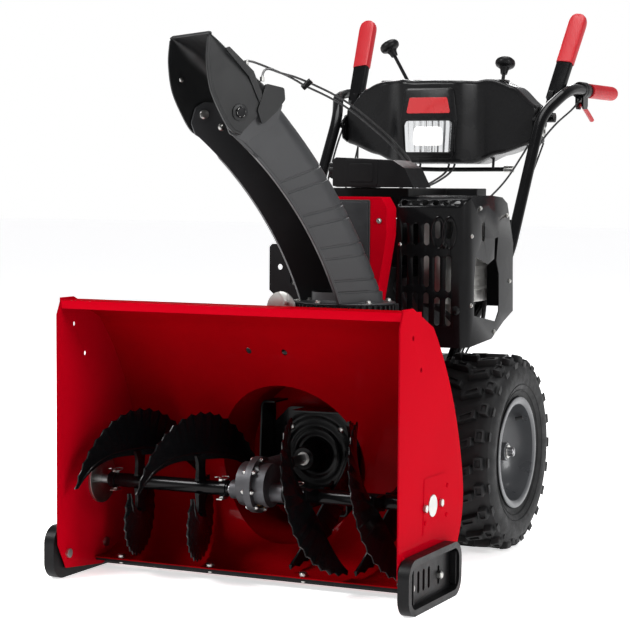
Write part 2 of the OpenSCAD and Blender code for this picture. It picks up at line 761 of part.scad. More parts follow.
// Heat guard round the muffler: a slotted front, a top row of holes and a side plate with a cut-out.
module muffler_guard() {
    color("black") placed() difference() {
        intersection() {
            along_x(guard_in, guard_out) polygon(guard_side);
            guard_plan(guard_out, 530);
        }
        intersection() {
            along_x(110, guard_out - 2) polygon(guard_room);
            guard_plan(guard_out - 2, 532);
        }
        for (i = [0:4]) {
            high = i < 3 ? [647, 680] : [661, 684];
            middle = i < 3 ? [562, 614] : [553, 614];
            low = i < 3 ? [484, 539] : [484, 530];
            for (z = [high, middle, low])
                along_y(520, 540) slot([140 + 24 * i, z[0]], [140 + 24 * i, z[1]], 6);
        }
        for (i = [0:5]) translate([135 + 23 * i, 539.5, 727]) rotate([50, 0, 0])
            cylinder(r = 7, h = 12, center = true);
        along_x(270, 280) slot([620, 657], [620, 679], 9);
        along_x(270, 280) polygon([[572, 498], [699, 479], [719, 500], [716, 579], [700, 606], [709, 655],
            [690, 653], [686, 610], [650, 600], [579, 617], [569, 563]]);
    }
}

// Snow hood over the carburettor and its heater box.
module air_box() {
    color("black") placed() difference() {
        along_y(545, 640) polygon([[-30, 760], [-30, 814], [-22, 819], [105, 813], [132, 797], [152, 757.5],
            [-20, 757.5]]);
        along_y(548, 637) polygon([[-27, 740], [-27, 812], [-21, 816], [104, 810], [129, 795], [146, 740]]);
        rod_x(-34, -25, 585, 792, 6.2);
    }
}

module choke_knob() {
    color("black") placed() {
        rod_x(-50, -30.3, 585, 792, 17);
        rod_x(-31, -20, 585, 792, 6);
        box([-56, 582, 777], [-49, 588, 807]);
    }
}

// ---------- handles and controls ----------

function tube_points(extra) = concat([tube_line[0] - [0, extra * 0.3, extra]],
    [for (i = [1:6]) tube_line[i]], [grip_end - (8 - extra) * [0.075, 1, 0]]);
tube_line = [[149, 735, 262], [149, 775, 395], [250, 850, 608], [252, 1050, 921], [284, 1122, 974],
    [288, 1176, grip_z], grip_start, grip_end];

module handle() {
    color("black") placed() difference() {
        union() {
            sweep(tube_points(0), tube_r, 24);
            along_x(dash_side, dash_side + 4) polygon([[1046, 870], [1074, 862], [1134, 900], [1134, 934],
                [1100, 944], [1040, 912]]);
            bar([dash_side + 1, 1052, 900], [252, 1040, 905], 6);
            bar([284, 1216, grip_z], [288, 1262, grip_z], 19);
            along_x(276, 296) polygon([[1222, 975], [1222, 948], [1232, 940], [1252, 940], [1258, 950],
                [1258, 975]]);
            rod_x(144, 164, 735, 262, 16);
        }
        sweep(tube_points(20), tube_r - 1.8, 24);
        rod_x(200, 300, lever_pivot[1], lever_pivot[2], 5 + run);
        box([279.5, 1215, 930], [293.5, 1262, 964]);
        rod_x(260, 310, trigger_pivot[1], trigger_pivot[2], 2.6);
    }
}

module handle_left() { handle(); }

module handle_right() { mirror([1, 0, 0]) handle(); }

module grips() {
    color("crimson") placed() mirror_pair() difference() {
        union() {
            bar(grip_start, grip_end - [0, 10, 0], grip_r);
            bar(grip_end - [0.8, 12, 0], grip_end - [0, 1.1, 0], grip_r - 4);
        }
        bar(grip_start - [0.75, 10, 0], grip_end - [0.45, 6, 0], tube_r + 0.1);
        bar(grip_start - [0.75, 10, 0], grip_start + [0.3, 4, 0], tube_r + 0.5);
    }
}

// Front outline and plan outline of the panel; the shell is what both enclose.
module dash_front(i) {
    half = [[100, 812 + i], [150, 833 + i], [dash_half - i, 860 + i], [dash_half - i, 944 - i],
        [205, 962 - i], [150, 1002 - i], [60, 1008 - i]];
    polygon(concat(half, flip([for (p = half) [-p[0], p[1]]])));
}

module dash_plan(i) {
    polygon([[dash_half - i, 1062 + i], [dash_half - i, 1130], [i - dash_half, 1130],
        [i - dash_half, 1062 + i], [-118, 1036 + i], [-78, 1002 + i], [78, 1002 + i], [118, 1036 + i]]);
}

module dash_panel() {
    color("black") placed() difference() {
        intersection() {
            along_y(900, 1200) dash_front(0);
            translate([0, 0, 800]) linear_extrude(300) dash_plan(0);
        }
        intersection() {
            along_y(900, 1200) dash_front(3);
            translate([0, 0, 700]) linear_extrude(500) dash_plan(3);
        }
        box([-300, 1127, 800], [300, 1200, 1100]);
        box([-66, 990, 838], [66, 1010, 910]);
        box([shift_pivot[0] - 9, 1050, 980], [shift_pivot[0] + 9, 1128, 1100]);
        rod_x(-250, 250, lever_pivot[1], lever_pivot[2], 7);
        box([-150, 1074, 960], [-52, 1126, 1100]);
    }
}

module headlight() {
    color("white") placed() {
        box([-65.5, 996, 838.5], [65.5, 1004.9, 909.5]);
        box([-58, 1004.5, 845], [58, 1030, 903]);
    }
}

// Channel-section paddle along z.
module paddle(width) {
    rotate([90, 0, 0]) difference() {
        translate([0, 0, -8]) linear_extrude(16) translate([0, 150]) rounded(width, 236, 10);
        translate([0, 0, -30]) linear_extrude(26) translate([0, 142]) rounded(width - 6, 226, 7);
    }
}

// Clutch lever: a paddle on a pivot beside the handle.
module lever() {
    color("crimson") placed() {
        translate(lever_pivot) rotate([-31.5, 6, 0]) translate([0, 0, 20]) paddle(38);
        rod_x(dash_side + 4.5, 262, lever_pivot[1], lever_pivot[2], 11);
        rod_x(228, dash_side + 5, lever_pivot[1], lever_pivot[2], 5);
        along_x(dash_side + 5, 252)
            polygon([[1112, 912], [1127, 916], [1156, 972], [1138, 980], [1108, 926]]);
    }
}

module lever_left() { lever(); }

module lever_right() { mirror([1, 0, 0]) lever(); }

module trigger() {
    color("crimson") placed() {
        rod_x(281.5, 290.5, trigger_pivot[1], trigger_pivot[2], 6);
        rod_x(276, 296, trigger_pivot[1], trigger_pivot[2], 2.55);
        sweep([for (q = [[0, 0, 0], [1, 12, -4], [2, 24, -10], [4, 68, -35]]) trigger_pivot + q], 5.2, 20);
    }
}

module trigger_left() { trigger(); }

module trigger_right() { mirror([1, 0, 0]) trigger(); }

// A flattened ball on a tapered collar, about z.
module knob() {
    rotate_extrude()
        polygon([[0, 0], [8, 0], [11, 14], [16, 16], [23, 24], [23, 30], [18, 37], [8, 40], [0, 40]]);
}

module shift_lever() {
    color("black") placed() translate(shift_pivot) rotate([-20, 0, 0]) {
        translate([0, 0, -14]) cylinder(r = 4, h = 146);
        translate([0, 0, 122]) knob();
        rod_x(-12, 12, 0, 0, 8);
    }
}

module joystick() {
    color("black") placed() translate(stick_pivot) rotate([0, -30, 0]) {
        translate([0, 0, 6]) cylinder(r = 4, h = 140);
        translate([0, 0, 132]) knob();
        rod_x(-9, 9, 0, 0, 8);
    }
}

module joystick_gimbal() {
    color("dimgray") placed() translate(stick_pivot) rotate([0, -30, 0]) {
        difference() {
            box([-20, -14, -10], [20, 14, 10]);
            box([-9.5, -20, -11], [9.5, 20, 11]);
        }
        rod_y(14, 22, 0, 0, 5);
        rod_y(-22, -14, 0, 0, 5);
    }
}

hood_cables = [[[-13, 121, 992], [-38, 180, 996], [-62, 250, 998], [-84, 330, 997], [-104, 430, 992],
    [-116, 520, 984], [-120, 600, 970]], [[6, 149, 962], [-20, 205, 975], [-48, 270, 985], [-73, 340, 990],
    [-96, 435, 988], [-110, 522, 986], [-114, 602, 978]]];
cable_run = [[-114, 700, 952], [-100, 780, 928], [-78, 850, 892], [-50, 905, 850], [-20, 930, 806],
    [-6, 925, 770], [-4, 915, 740]];
clutch_route = [[232, 1128, 860], [226, 1080, 800], [220, 1010, 730], [210, 940, 640], [196, 890, 540],
    [178, 862, 450], [160, 840, 400], [150, 826, 372]];

module control_cables() {
    color("black") placed() {
        for (i = [0, 1]) sweep(concat(hood_cables[i], [for (p = cable_run) p + i * [6, 2, 8]]), 2.2);
        sweep(clutch_route, 2);
        sweep([for (p = clutch_route) [-p[0], p[1], p[2]]], 2);
    }
}

housing_wrapper();
side_plate_left();
side_plate_right();
impeller_drum();
shave_plate();
skid_shoe_left();
skid_shoe_right();
housing_bolts();
bearings();
auger_shaft();
auger_left();
auger_right();
shear_pins();
gearbox_case_left();
gearbox_case_right();
worm_wheel();
impeller_shaft();
impeller();
impeller_pulley();
auger_belt();
engine_pulley();
chute_ring();
chute();
deflector();
deflector_pins();
chute_worm();
chute_bracket();
belt_cover();
frame_box();
axle_left();
axle_right();
rim_left();
rim_right();
tyre_left();
tyre_right();
drive_disc();
hex_shaft();
friction_wheel();
engine_block();
recoil_cover();
starter_grip();
fuel_tank();
fuel_cap();
muffler();
muffler_guard();
air_box();
choke_knob();
handle_left();
handle_right();
dash_panel();
headlight();
grips();
lever_left();
lever_right();
trigger_left();
trigger_right();
shift_lever();
joystick();
joystick_gimbal();
control_cables();
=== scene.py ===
"""Two stage snowblower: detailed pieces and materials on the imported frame."""

import math

import bmesh
import bpy
from mathutils import Matrix, Vector


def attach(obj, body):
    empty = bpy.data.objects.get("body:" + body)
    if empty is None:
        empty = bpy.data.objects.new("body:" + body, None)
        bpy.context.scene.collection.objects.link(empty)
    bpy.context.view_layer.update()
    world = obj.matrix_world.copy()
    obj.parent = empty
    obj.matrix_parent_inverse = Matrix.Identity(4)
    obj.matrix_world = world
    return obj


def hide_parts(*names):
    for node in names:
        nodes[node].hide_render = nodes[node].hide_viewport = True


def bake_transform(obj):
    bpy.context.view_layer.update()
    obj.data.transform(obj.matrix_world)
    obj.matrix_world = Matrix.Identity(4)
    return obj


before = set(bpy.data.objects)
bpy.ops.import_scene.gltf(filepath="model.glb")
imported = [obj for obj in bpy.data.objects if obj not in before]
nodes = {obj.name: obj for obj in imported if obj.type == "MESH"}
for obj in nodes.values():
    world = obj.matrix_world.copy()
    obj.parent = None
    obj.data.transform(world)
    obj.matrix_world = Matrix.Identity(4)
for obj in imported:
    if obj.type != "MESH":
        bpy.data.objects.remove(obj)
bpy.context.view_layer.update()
MID = 712.0


def P(x, y, z):
    """A point given in millimetres from the front edge of the housing."""
    return Vector((x / 1000, (y - MID) / 1000, z / 1000))


# ---------------------------------------------------------------- materials

def material(name, color, rough=0.45, metal=0.0, coat=0.0, vary=0.10, grain=900.0, bump=0.05,
             dirt=0.0, wear=0.0, blotch=6.0, spec=0.5, worn_color=None):
    m = bpy.data.materials.new(name)
    m.use_nodes = True
    nt = m.node_tree
    n, link = nt.nodes, nt.links
    b = n["Principled BSDF"]
    b.inputs["Metallic"].default_value = metal
    b.inputs["Coat Weight"].default_value = coat
    b.inputs["Coat Roughness"].default_value = 0.08
    b.inputs["Specular IOR Level"].default_value = spec
    tc = n.new("ShaderNodeTexCoord")

    def noise(scale, detail=3.0, rough_=0.55):
        t = n.new("ShaderNodeTexNoise")
        t.inputs["Scale"].default_value = scale
        t.inputs["Detail"].default_value = detail
        t.inputs["Roughness"].default_value = rough_
        link.new(tc.outputs["Object"], t.inputs["Vector"])
        return t.outputs["Fac"]

    def ramp(fac, lo, hi, a=0.3, c=0.7):
        r = n.new("ShaderNodeMapRange")
        r.inputs["From Min"].default_value, r.inputs["From Max"].default_value = a, c
        r.inputs["To Min"].default_value, r.inputs["To Max"].default_value = lo, hi
        link.new(fac, r.inputs["Value"])
        return r.outputs["Result"]

    def mix(fac, a, c):
        x = n.new("ShaderNodeMix")
        x.data_type = "RGBA"
        link.new(fac, x.inputs["Factor"])
        for socket, v in ((x.inputs["A"], a), (x.inputs["B"], c)):
            if isinstance(v, tuple):
                socket.default_value = (*v, 1.0)
            else:
                link.new(v, socket)
        return x.outputs["Result"]

    dark = tuple(v * (1 - vary) for v in color)
    light = tuple(min(1.0, v * (1 + vary)) for v in color)
    col = mix(ramp(noise(blotch), 0, 1), dark, light)
    if dirt:
        dust = tuple(0.5 * v + 0.11 for v in color)
        col = mix(ramp(noise(blotch * 3.7, 6), 0, dirt, 0.5, 0.8), col, dust)
    if wear:
        g = n.new("ShaderNodeNewGeometry")
        edge = ramp(g.outputs["Pointiness"], 0, wear, 0.52, 0.6)
        mul = n.new("ShaderNodeMath")
        mul.operation = "MULTIPLY"
        link.new(edge, mul.inputs[0])
        link.new(ramp(noise(70, 5), 0.2, 1, 0.4, 0.6), mul.inputs[1])
        col = mix(mul.outputs[0], col, worn_color or tuple(min(1, v * 1.6 + 0.05) for v in color))
    link.new(col, b.inputs["Base Color"])
    link.new(ramp(noise(blotch * 5, 5), rough * 0.82, min(1.0, rough * 1.2)), b.inputs["Roughness"])
    bp = n.new("ShaderNodeBump")
    bp.inputs["Strength"].default_value = bump
    bp.inputs["Distance"].default_value = 0.0006
    link.new(noise(grain, 4), bp.inputs["Height"])
    link.new(bp.outputs["Normal"], b.inputs["Normal"])
    return m


RED = (0.40, 0.0006, 0.009)
M = {
    "red": material("red_paint", RED, 0.27, coat=0.04, vary=0.04, grain=420, bump=0.02, wear=0.10,
                    worn_color=(0.46, 0.004, 0.02), spec=0.0),
    # Painted shade: the same red paint made darker for the shaded inside of the housing and drum.
    "red_painted_shade": material("red_paint_painted_shade_inside", (0.24, 0.0006, 0.003), 0.34, coat=0.03, vary=0.08, grain=420,
                       bump=0.02, dirt=0.004, spec=0.0),
    "black": material("black_enamel", (0.003, 0.003, 0.0034), 0.22, coat=0.05, vary=0.15, grain=500,
                      bump=0.04, wear=0.05, worn_color=(0.03, 0.03, 0.032), spec=0.16),
    "black_matt": material("black_matt", (0.006, 0.006, 0.007), 0.5, vary=0.15, grain=1300,
                           bump=0.15, spec=0.2),
    "plastic": material("black_plastic", (0.006, 0.006, 0.0065), 0.36, vary=0.12, grain=1600, bump=0.14,
                        wear=0.08, worn_color=(0.02, 0.02, 0.022), spec=0.17),
    "dash": material("dash_plastic", (0.0065, 0.0065, 0.007), 0.27, vary=0.1, grain=2200,
                     bump=0.05, spec=0.2),
    "chute": material("chute_plastic", (0.027, 0.028, 0.030), 0.44, vary=0.10, grain=1500, bump=0.25,
                      dirt=0.05),
    "hood": material("deflector_plastic", (0.0085, 0.009, 0.0095), 0.42, vary=0.12, grain=1500,
                     bump=0.16, spec=0.35),
    # Painted shade: near-black copy of the chute plastic for the shaded inside of the channel.
    "chute_painted_shade": material("chute_inside_painted_shade", (0.006, 0.006, 0.0065), 0.55, vary=0.2, grain=1500, bump=0.2),
    "zinc": material("zinc_plate", (0.50, 0.50, 0.48), 0.34, 1.0, vary=0.12, grain=700, bump=0.06,
                     blotch=30),
    "steel": material("steel", (0.45, 0.45, 0.46), 0.34, 1.0, vary=0.15, grain=900, bump=0.1, blotch=40),
    "cast": material("cast_alloy", (0.085, 0.085, 0.09), 0.5, 0.75, vary=0.15, grain=320, bump=0.45,
                     dirt=0.1, blotch=18),
    "muffler": material("muffler_steel", (0.55, 0.54, 0.52), 0.38, 0.9, vary=0.2, grain=300, bump=0.2,
                        dirt=0.12, blotch=14),
    "bronze": material("bronze", (0.50, 0.29, 0.11), 0.35, 1.0, vary=0.15, blotch=30),
    "rim": material("rim_paint", (0.056, 0.058, 0.062), 0.32, coat=0.15, vary=0.08, grain=600, bump=0.08),
    "tyre": material("tyre_rubber", (0.007, 0.007, 0.0075), 0.6, vary=0.18, grain=1100, bump=0.3,
                     dirt=0.03, blotch=9, spec=0.3),
    "rubber": material("rubber", (0.02, 0.02, 0.021), 0.6, vary=0.15, grain=1200, bump=0.25),
    "grip": material("red_rubber", (0.36, 0.008, 0.014), 0.36, vary=0.08, grain=1700, bump=0.2),
    "panel": material("grey_panel", (0.020, 0.021, 0.023), 0.42, vary=0.1, grain=1400, bump=0.18),
    "badge": material("badge_red", (0.45, 0.012, 0.016), 0.25, coat=0.6, vary=0.05),
    "reflector": material("reflector", (0.80, 0.81, 0.82), 0.12, 1.0, vary=0.05),
    # Painted highlight: near-white coated plastic for the glare in the middle of the headlight; it gives no
    # light.
    "painted_glare": material("lamp_painted_glare", (0.95, 0.95, 0.93), 0.15, 0.0, coat=0.9, vary=0.03),
    "dark_steel": material("dark_steel", (0.10, 0.10, 0.105), 0.4, 0.8, vary=0.2, grain=600, bump=0.1),
}


# ---------------------------------------------------------------- mesh building

class Build:
    """Collects faces in millimetres from the front edge of the housing, then makes one piece."""

    def __init__(self):
        self.v, self.f = [], []

    def add(self, verts, faces):
        k = len(self.v)
        self.v += [Vector(p) for p in verts]
        self.f += [tuple(i + k for i in face) for face in faces]
        return self

    def rings(self, rings, closed_ring=True, caps=True, loop=False):
        n = len(rings[0])
        faces = []
        last = len(rings) if loop else len(rings) - 1
        for i in range(last):
            a, c = i * n, ((i + 1) % len(rings)) * n
            for k in range(n if closed_ring else n - 1):
                faces.append((a + k, a + (k + 1) % n, c + (k + 1) % n, c + k))
        if caps and closed_ring and not loop:
            faces += [tuple(range(n))[::-1], tuple(range((len(rings) - 1) * n, len(rings) * n))]
        return self.add([p for r in rings for p in r], faces)

    def tube(self, path, r, n=20, smooth=8, squash=1.0):
        pts = curve(path, smooth) if smooth else [Vector(p) for p in path]
        rr = r if callable(r) else (lambda t: r)
        up = Vector((0, 0, 1))
        rings = []
        side = None
        for i, p in enumerate(pts):
            d = (pts[min(i + 1, len(pts) - 1)] - pts[max(i - 1, 0)]).normalized()
            if side is None:
                side = d.cross(up)
                if side.length < 0.05:
                    side = d.cross(Vector((1, 0, 0)))
            side = (side - d * side.dot(d)).normalized()
            w = side.cross(d)
            q = rr(i / (len(pts) - 1))
            rings.append([p + q * (math.cos(2 * math.pi * k / n) * side
                                   + squash * math.sin(2 * math.pi * k / n) * w) for k in range(n)])
        return self.rings(rings)

    def lathe(self, profile, at, axis, n=64, closed=True):
        """Turns (radius, height) points about an axis through a point."""
        w = Vector(axis).normalized()
        u = w.orthogonal().normalized()
        if abs(w.x) > 0.9 or abs(w.y) > 0.9:
            u = Vector((0, 0, 1)) - w * w.z
            u.normalize()
        t = w.cross(u)
        at = Vector(at)
        rings = [[at + w * h + r * (math.cos(a) * u + math.sin(a) * t) for r, h in profile]
                 for a in (2 * math.pi * k / n for k in range(n))]
        return self.rings(rings, closed_ring=closed, caps=False, loop=True)

    def prism(self, outline, lo, hi, axis="x"):
        """Outline in the other two axes, taken in the order x, y, z."""
        def place(q, h):
            return {"x": (h, q[0], q[1]), "y": (q[0], h, q[1]), "z": (q[0], q[1], h)}[axis]
        return self.rings([[place(q, h) for q in outline] for h in (lo, hi)])

    def box(self, lo, hi):
        (a, b, c), (d, e, f) = lo, hi
        return self.prism([(a, b), (d, b), (d, e), (a, e)], c, f, "z")

    def hexhead(self, at, axis, r=7.0, h=5.0, washer=True):
        w = Vector(axis).normalized()
        at = Vector(at)
        if washer:
            self.lathe([(0.01, 0), (r * 1.35, 0), (r * 1.35, 1.3), (0.01, 1.3)], at, w, 24)
            at = at + w * 1.3
        u = w.orthogonal().normalized()
        t = w.cross(u)
        rings = []
        for k, s in ((0, 1), (h * 0.8, 1), (h, 0.86), (h, 0.4), (h * 0.86, 0.36)):
            rings.append([at + w * k + r * s * (math.cos(a) * u + math.sin(a) * t)
                          for a in (math.pi / 3 * j for j in range(6))])
        return self.rings(rings)

    def dome(self, at, axis, r=8.0, h=4.5):
        prof = [(0.01, 0), (r, 0)] + [(r * math.cos(a), h * math.sin(a) + 0.4)
                                       for a in (i * math.pi / 16 for i in range(0, 8))] + [(0.01, h + 0.4)]
        return self.lathe(prof, at, axis, 28)

    def turn(self, matrix, start=0):
        for i in range(start, len(self.v)):
            self.v[i] = matrix @ self.v[i]
        return self

    def make(self, name, mat, body, slot, bevel=0.0, angle=35, replaces=(), segments=2, weld=1e-5):
        me = bpy.data.meshes.new(name)
        me.from_pydata([(p.x / 1000, (p.y - MID) / 1000, p.z / 1000) for p in self.v], [], self.f)
        bm = bmesh.new()
        bm.from_mesh(me)
        bmesh.ops.remove_doubles(bm, verts=bm.verts, dist=weld)
        bmesh.ops.recalc_face_normals(bm, faces=bm.faces)
        bm.to_mesh(me)
        bm.free()
        me.shade_smooth()
        me.set_sharp_from_angle(angle=math.radians(angle))
        me.materials.append(M[mat])
        ob = bpy.data.objects.new(name, me)
        bpy.context.scene.collection.objects.link(ob)
        if bevel:
            soften(ob, bevel, angle, segments)
        if isinstance(body, tuple):
            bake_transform(ob)
        else:
            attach(ob, body)
        if replaces:
            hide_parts(*replaces)
        return ob


def soften(ob, width, angle=35, segments=2):
    b = ob.modifiers.new("edges", "BEVEL")
    b.width = width / 1000
    b.segments = segments
    b.limit_method = "ANGLE"
    b.angle_limit = math.radians(angle)
    b.harden_normals = True
    b.use_clamp_overlap = True


def dress(names, mat, bevel=0.8, segments=2):
    """Gives CAD nodes a material, clean faces and small rounded edges."""
    for name in names.split():
        ob = nodes[name]
        ob.data.materials.clear()
        ob.data.materials.append(M[mat])
        ob.data.shade_smooth()
        ob.data.set_sharp_from_angle(angle=math.radians(28))
        w = ob.modifiers.new("weld", "WELD")
        w.merge_threshold = 2e-5
        if bevel:
            d = ob.modifiers.new("flat", "DECIMATE")
            d.decimate_type = "DISSOLVE"
            d.angle_limit = math.radians(0.6)
            soften(ob, bevel, 32, segments)
        normals = ob.modifiers.new("normals", "WEIGHTED_NORMAL")
        normals.keep_sharp = True


def curve(pts, per=8):
    """Smooth curve through points."""
    p = [Vector(q) for q in pts]
    out = []
    for i in range(len(p) - 1):
        a, b, c, d = p[max(i - 1, 0)], p[i], p[i + 1], p[min(i + 2, len(p) - 1)]
        for k in range(per):
            t = k / per
            out.append(0.5 * ((2 * b) + (c - a) * t + (2 * a - 5 * b + 4 * c - d) * t * t
                              + (3 * b - a - 3 * c + d) * t ** 3))
    return out + [p[-1]]


def rounded_outline(pts, r, per=6):
    """2D outline with its corners rounded."""
    out = []
    n = len(pts)
    for i in range(n):
        p, a, c = Vector(pts[i]), Vector(pts[i - 1]), Vector(pts[(i + 1) % n])
        rr = r[i] if isinstance(r, (list, tuple)) else r
        u, w = (a - p), (c - p)
        lim = min(u.length, w.length) * 0.48
        half = u.angle(w) / 2
        cut = min(rr / math.tan(half), lim)
        s, e = p + u.normalized() * cut, p + w.normalized() * cut
        for k in range(per + 1):
            t = k / per
            out.append((s * (1 - t) ** 2 + 2 * p * t * (1 - t) + e * t * t)[:])
    return out


# ---------------------------------------------------------------- carried-over CAD nodes

# Housing wrapper and impeller drum take the darker red, which is painted shade for the inside of the
# housing.
dress("housing_wrapper impeller_drum", "red_painted_shade", 0.7)
dress("side_plate_left side_plate_right", "red", 0)
dress("belt_cover", "red", 1.0)
dress("shave_plate frame_box chute_bracket", "black_matt", 0.7)
dress("skid_shoe_left skid_shoe_right", "plastic", 2.2, 3)
dress("housing_bolts shear_pins bearings", "zinc", 0.5)
dress("auger_shaft impeller_shaft axle_left axle_right hex_shaft drive_disc", "steel", 0)
dress("gearbox_case_left gearbox_case_right", "cast", 1.6, 3)
dress("worm_wheel", "bronze", 0)
dress("impeller_pulley engine_pulley", "dark_steel", 0.4)
dress("auger_belt", "rubber", 0.6)
dress("chute_ring", "plastic", 0.5)
dress("deflector_pins chute_worm", "zinc", 0)
dress("friction_wheel", "rubber", 0.6)
dress("engine_block", "cast", 1.5)
dress("recoil_cover starter_grip fuel_cap choke_knob", "plastic", 1.5, 3)
dress("fuel_tank", "plastic", 9, 4)
dress("muffler", "muffler", 0)
dress("muffler_guard", "black", 0)
dress("air_box", "plastic", 2.5, 3)
dress("dash_panel", "dash", 1.4, 3)
dress("headlight", "plastic", 1.5)
dress("joystick_gimbal", "dark_steel", 0.4)

# ---------------------------------------------------------------- auger

AUGER_Y, AUGER_Z = 156.0, 177.0


def tooth(deg):
    """Outer radius of the ribbon: a saw edge of small pointed teeth."""
    q = (deg % 10.0) / 10.0
    return 145.6 - 5.6 * (1 - abs(2 * q - 1)) ** 0.8


def auger_side(sign, a0):
    b = Build()
    n = 144
    for x0 in (66, 202):
        for turn in (0, 180):
            rings = []
            for i in range(n + 1):
                t = i / n
                a = math.radians(a0 + turn + 180 * t)
                x = x0 + 118 * t
                ri = 52 + 84 * abs(2 * t - 1) ** 2.2
                ro = tooth(180 * t)
                q = min(1.0, (ro - ri) / 40)
                rings.append([(sign * (x + dx), AUGER_Y + r * math.cos(a), AUGER_Z + r * math.sin(a))
                              for r, dx in ((ri, 0.4), (ri + 2 * q, -0.6), (ri + 8 * q, -0.6),
                                            (ri + 10 * q, -2.2), (ri + 13 * q, -2.2), (ri + 15 * q, -0.6),
                                            (ro - 2, -0.2), (ro, 0.9), (ro, 3.1), (ro - 2, 4.2),
                                            (ri + 2 * q, 4.6), (ri, 3.6))])
            b.rings(rings)
            a = math.radians(a0 + turn + 90)
            c, s = math.cos(a), math.sin(a)
            rings = []
            for r, w, d in ((12, 15, 5), (18, 15, 4), (32, 13, 3.6), (46, 14, 3.6), (56, 18, 3.2),
                            (62, 21, 2.6)):
                rings.append([(sign * (x0 + 61 + dx), AUGER_Y + r * c - q * s, AUGER_Z + r * s + q * c)
                              for q, dx in ((-w, -d), (w, -d), (w, d), (-w, d))])
            b.rings(rings)
    b.lathe([(9.8, 64), (14.0, 64), (14.0, 330), (9.8, 330)], (0, AUGER_Y, AUGER_Z), (sign, 0, 0), 40)
    for x in (66, 314):
        b.lathe([(13.5, x), (16.5, x + 1), (16.5, x + 13), (13.5, x + 14)], (0, AUGER_Y, AUGER_Z),
                (sign, 0, 0), 40)
    return b


auger_side(1, 90).make("auger_ribbon_left", "black", "auger", "black_steel", 0.5, replaces=["auger_left"])
auger_side(-1, 0).make("auger_ribbon_right", "black", "auger", "black_steel", 0.5,
                       replaces=["auger_right"])

# Bow-tie cotters of the shear pins.
b = Build()
for x in (80, 318):
    for s in (-1, 1):
        c = Vector((s * x, AUGER_Y, AUGER_Z + 18.6))
        loop = [(c.x + 13 * math.sin(t), c.y + 9 * math.sin(2 * t), c.z + 1.5 + 2.5 * math.cos(t))
                for t in (i * 2 * math.pi / 26 for i in range(25))]
        b.tube(loop, 1.2, 8, 2)
b.make("cotters", "zinc", "auger", "zinc_steel")

# ---------------------------------------------------------------- impeller

DRUM_Z = 215.0
b = Build()


def plate_edge(a):
    q = (math.degrees(a) + 45) % 90 - 45
    flat = 96 / math.cos(math.radians(q))
    q2 = (math.degrees(a)) % 90 - 45
    return min(flat, 111 / math.cos(math.radians(q2)))


def ring_height(r):
    z = 0.0
    for c, w, h in ((38, 7, 3.0), (60, 6, 1.8), (82, 6, 1.4)):
        z += h * math.exp(-((r - c) / w) ** 2)
    return z - 9 * math.exp(-(r / 30) ** 4)


for side, y0 in ((1, 412.0), (-1, 415.6)):
    rings = []
    for i in range(46):
        t = i / 45
        ring = []
        for k in range(96):
            a = 2 * math.pi * k / 96
            r = 10 + (plate_edge(a) - 10) * t
            y = y0 - ring_height(r) * min(1, (1 - t) * 12)
            ring.append((r * math.sin(a), y, DRUM_Z + r * math.cos(a)))
        rings.append(ring)
    b.rings(rings, caps=False)
for k in range(4):
    s = len(b.v)
    blade = [(-24, 93), (100, 93), (105, 92), (108, 88), (108, 66), (112, 66), (112, 90), (107, 96),
             (100, 97), (-24, 97)]
    b.rings([[(x, y, z) for x, z in blade] for y in (345, 365, 390, 415)])
    for i in range(s, len(b.v)):
        if b.v[i].y < 350 and b.v[i].x > 90:
            b.v[i].y += 8
    b.turn(Matrix.Translation((0, 0, DRUM_Z)) @ Matrix.Rotation(k * math.pi / 2, 4, "Y"), s)
b.lathe([(9.6, 350), (22, 350), (24, 352), (24, 405), (30, 412), (9.6, 412)], (0, 0, DRUM_Z), (0, 1, 0), 40)
b.make("impeller_rotor_plate", "black", "impeller_rotor", "black_steel", 0.5, 30, replaces=["impeller"])
b = Build()
for a in (45, 135, 225, 315):
    t = math.radians(a)
    b.dome((78 * math.sin(t), 411.5, DRUM_Z + 78 * math.cos(t)), (0, -1, 0), 7, 4)
b.hexhead((0, 350, DRUM_Z), (0, -1, 0), 10, 7)
b.make("impeller_bolts", "zinc", "impeller_rotor", "zinc_steel")

# ---------------------------------------------------------------- chute

TURN = math.radians(34)
AXIS = Vector((84, 372, 0))
U = Vector((-math.sin(TURN), -math.cos(TURN), 0))
N = Vector((math.cos(TURN), -math.sin(TURN), 0))


def C(x, s, z):
    """A point in the chute's frame: across, ahead of its axis, up."""
    return AXIS + N * x + U * s + Vector((0, 0, z))


def bend(p, r, h0, h):
    a, c = math.radians(h0), math.radians(h)
    return Vector((p[0] + r * (math.sin(a) - math.sin(c)), p[1] + r * (math.cos(c) - math.cos(a))))


def section(front, back, hw, wall, cr, flange, thick, inset=0.0):
    """U-shaped section between its open edge and its back, as outer then inner points."""
    d = (back - front)
    depth = d.length
    d.normalize()
    cr = min(cr, depth * 0.46, hw * 0.8)
    o = hw - inset
    pts = [(hw - wall, 0), (hw + flange - 1, 0), (hw + flange, 1), (hw + flange, thick - 1),
           (hw + flange - 1, thick), (o, thick + 0.5)]
    arc = [(math.radians(a)) for a in (0, 10, 20, 30, 40, 50, 60, 70, 80, 90)]
    pts += [(o - cr + cr * math.cos(a), depth - inset - cr + cr * math.sin(a)) for a in arc]
    pts += [(-x, y) for x, y in pts[::-1]]
    ci = max(cr - wall, 1.0)
    inner = [(-(hw - wall) + ci - ci * math.cos(a), depth - wall - ci + ci * math.sin(a)) for a in arc]
    inner += [(-x, y) for x, y in inner[::-1]]
    pts = pts + inner
    return [C(x, front.x + d.x * y, front.y + d.y * y) for x, y in pts]


def chute_row(t):
    return (bend((66, 532), 730, 70, 70 - 32 * t), bend((-63, 532), 1170, 68, 68 - 23 * t))


def t_at(z):
    h = math.degrees(math.acos((z - 532) / 730 + math.cos(math.radians(70))))
    return (70 - h) / 32


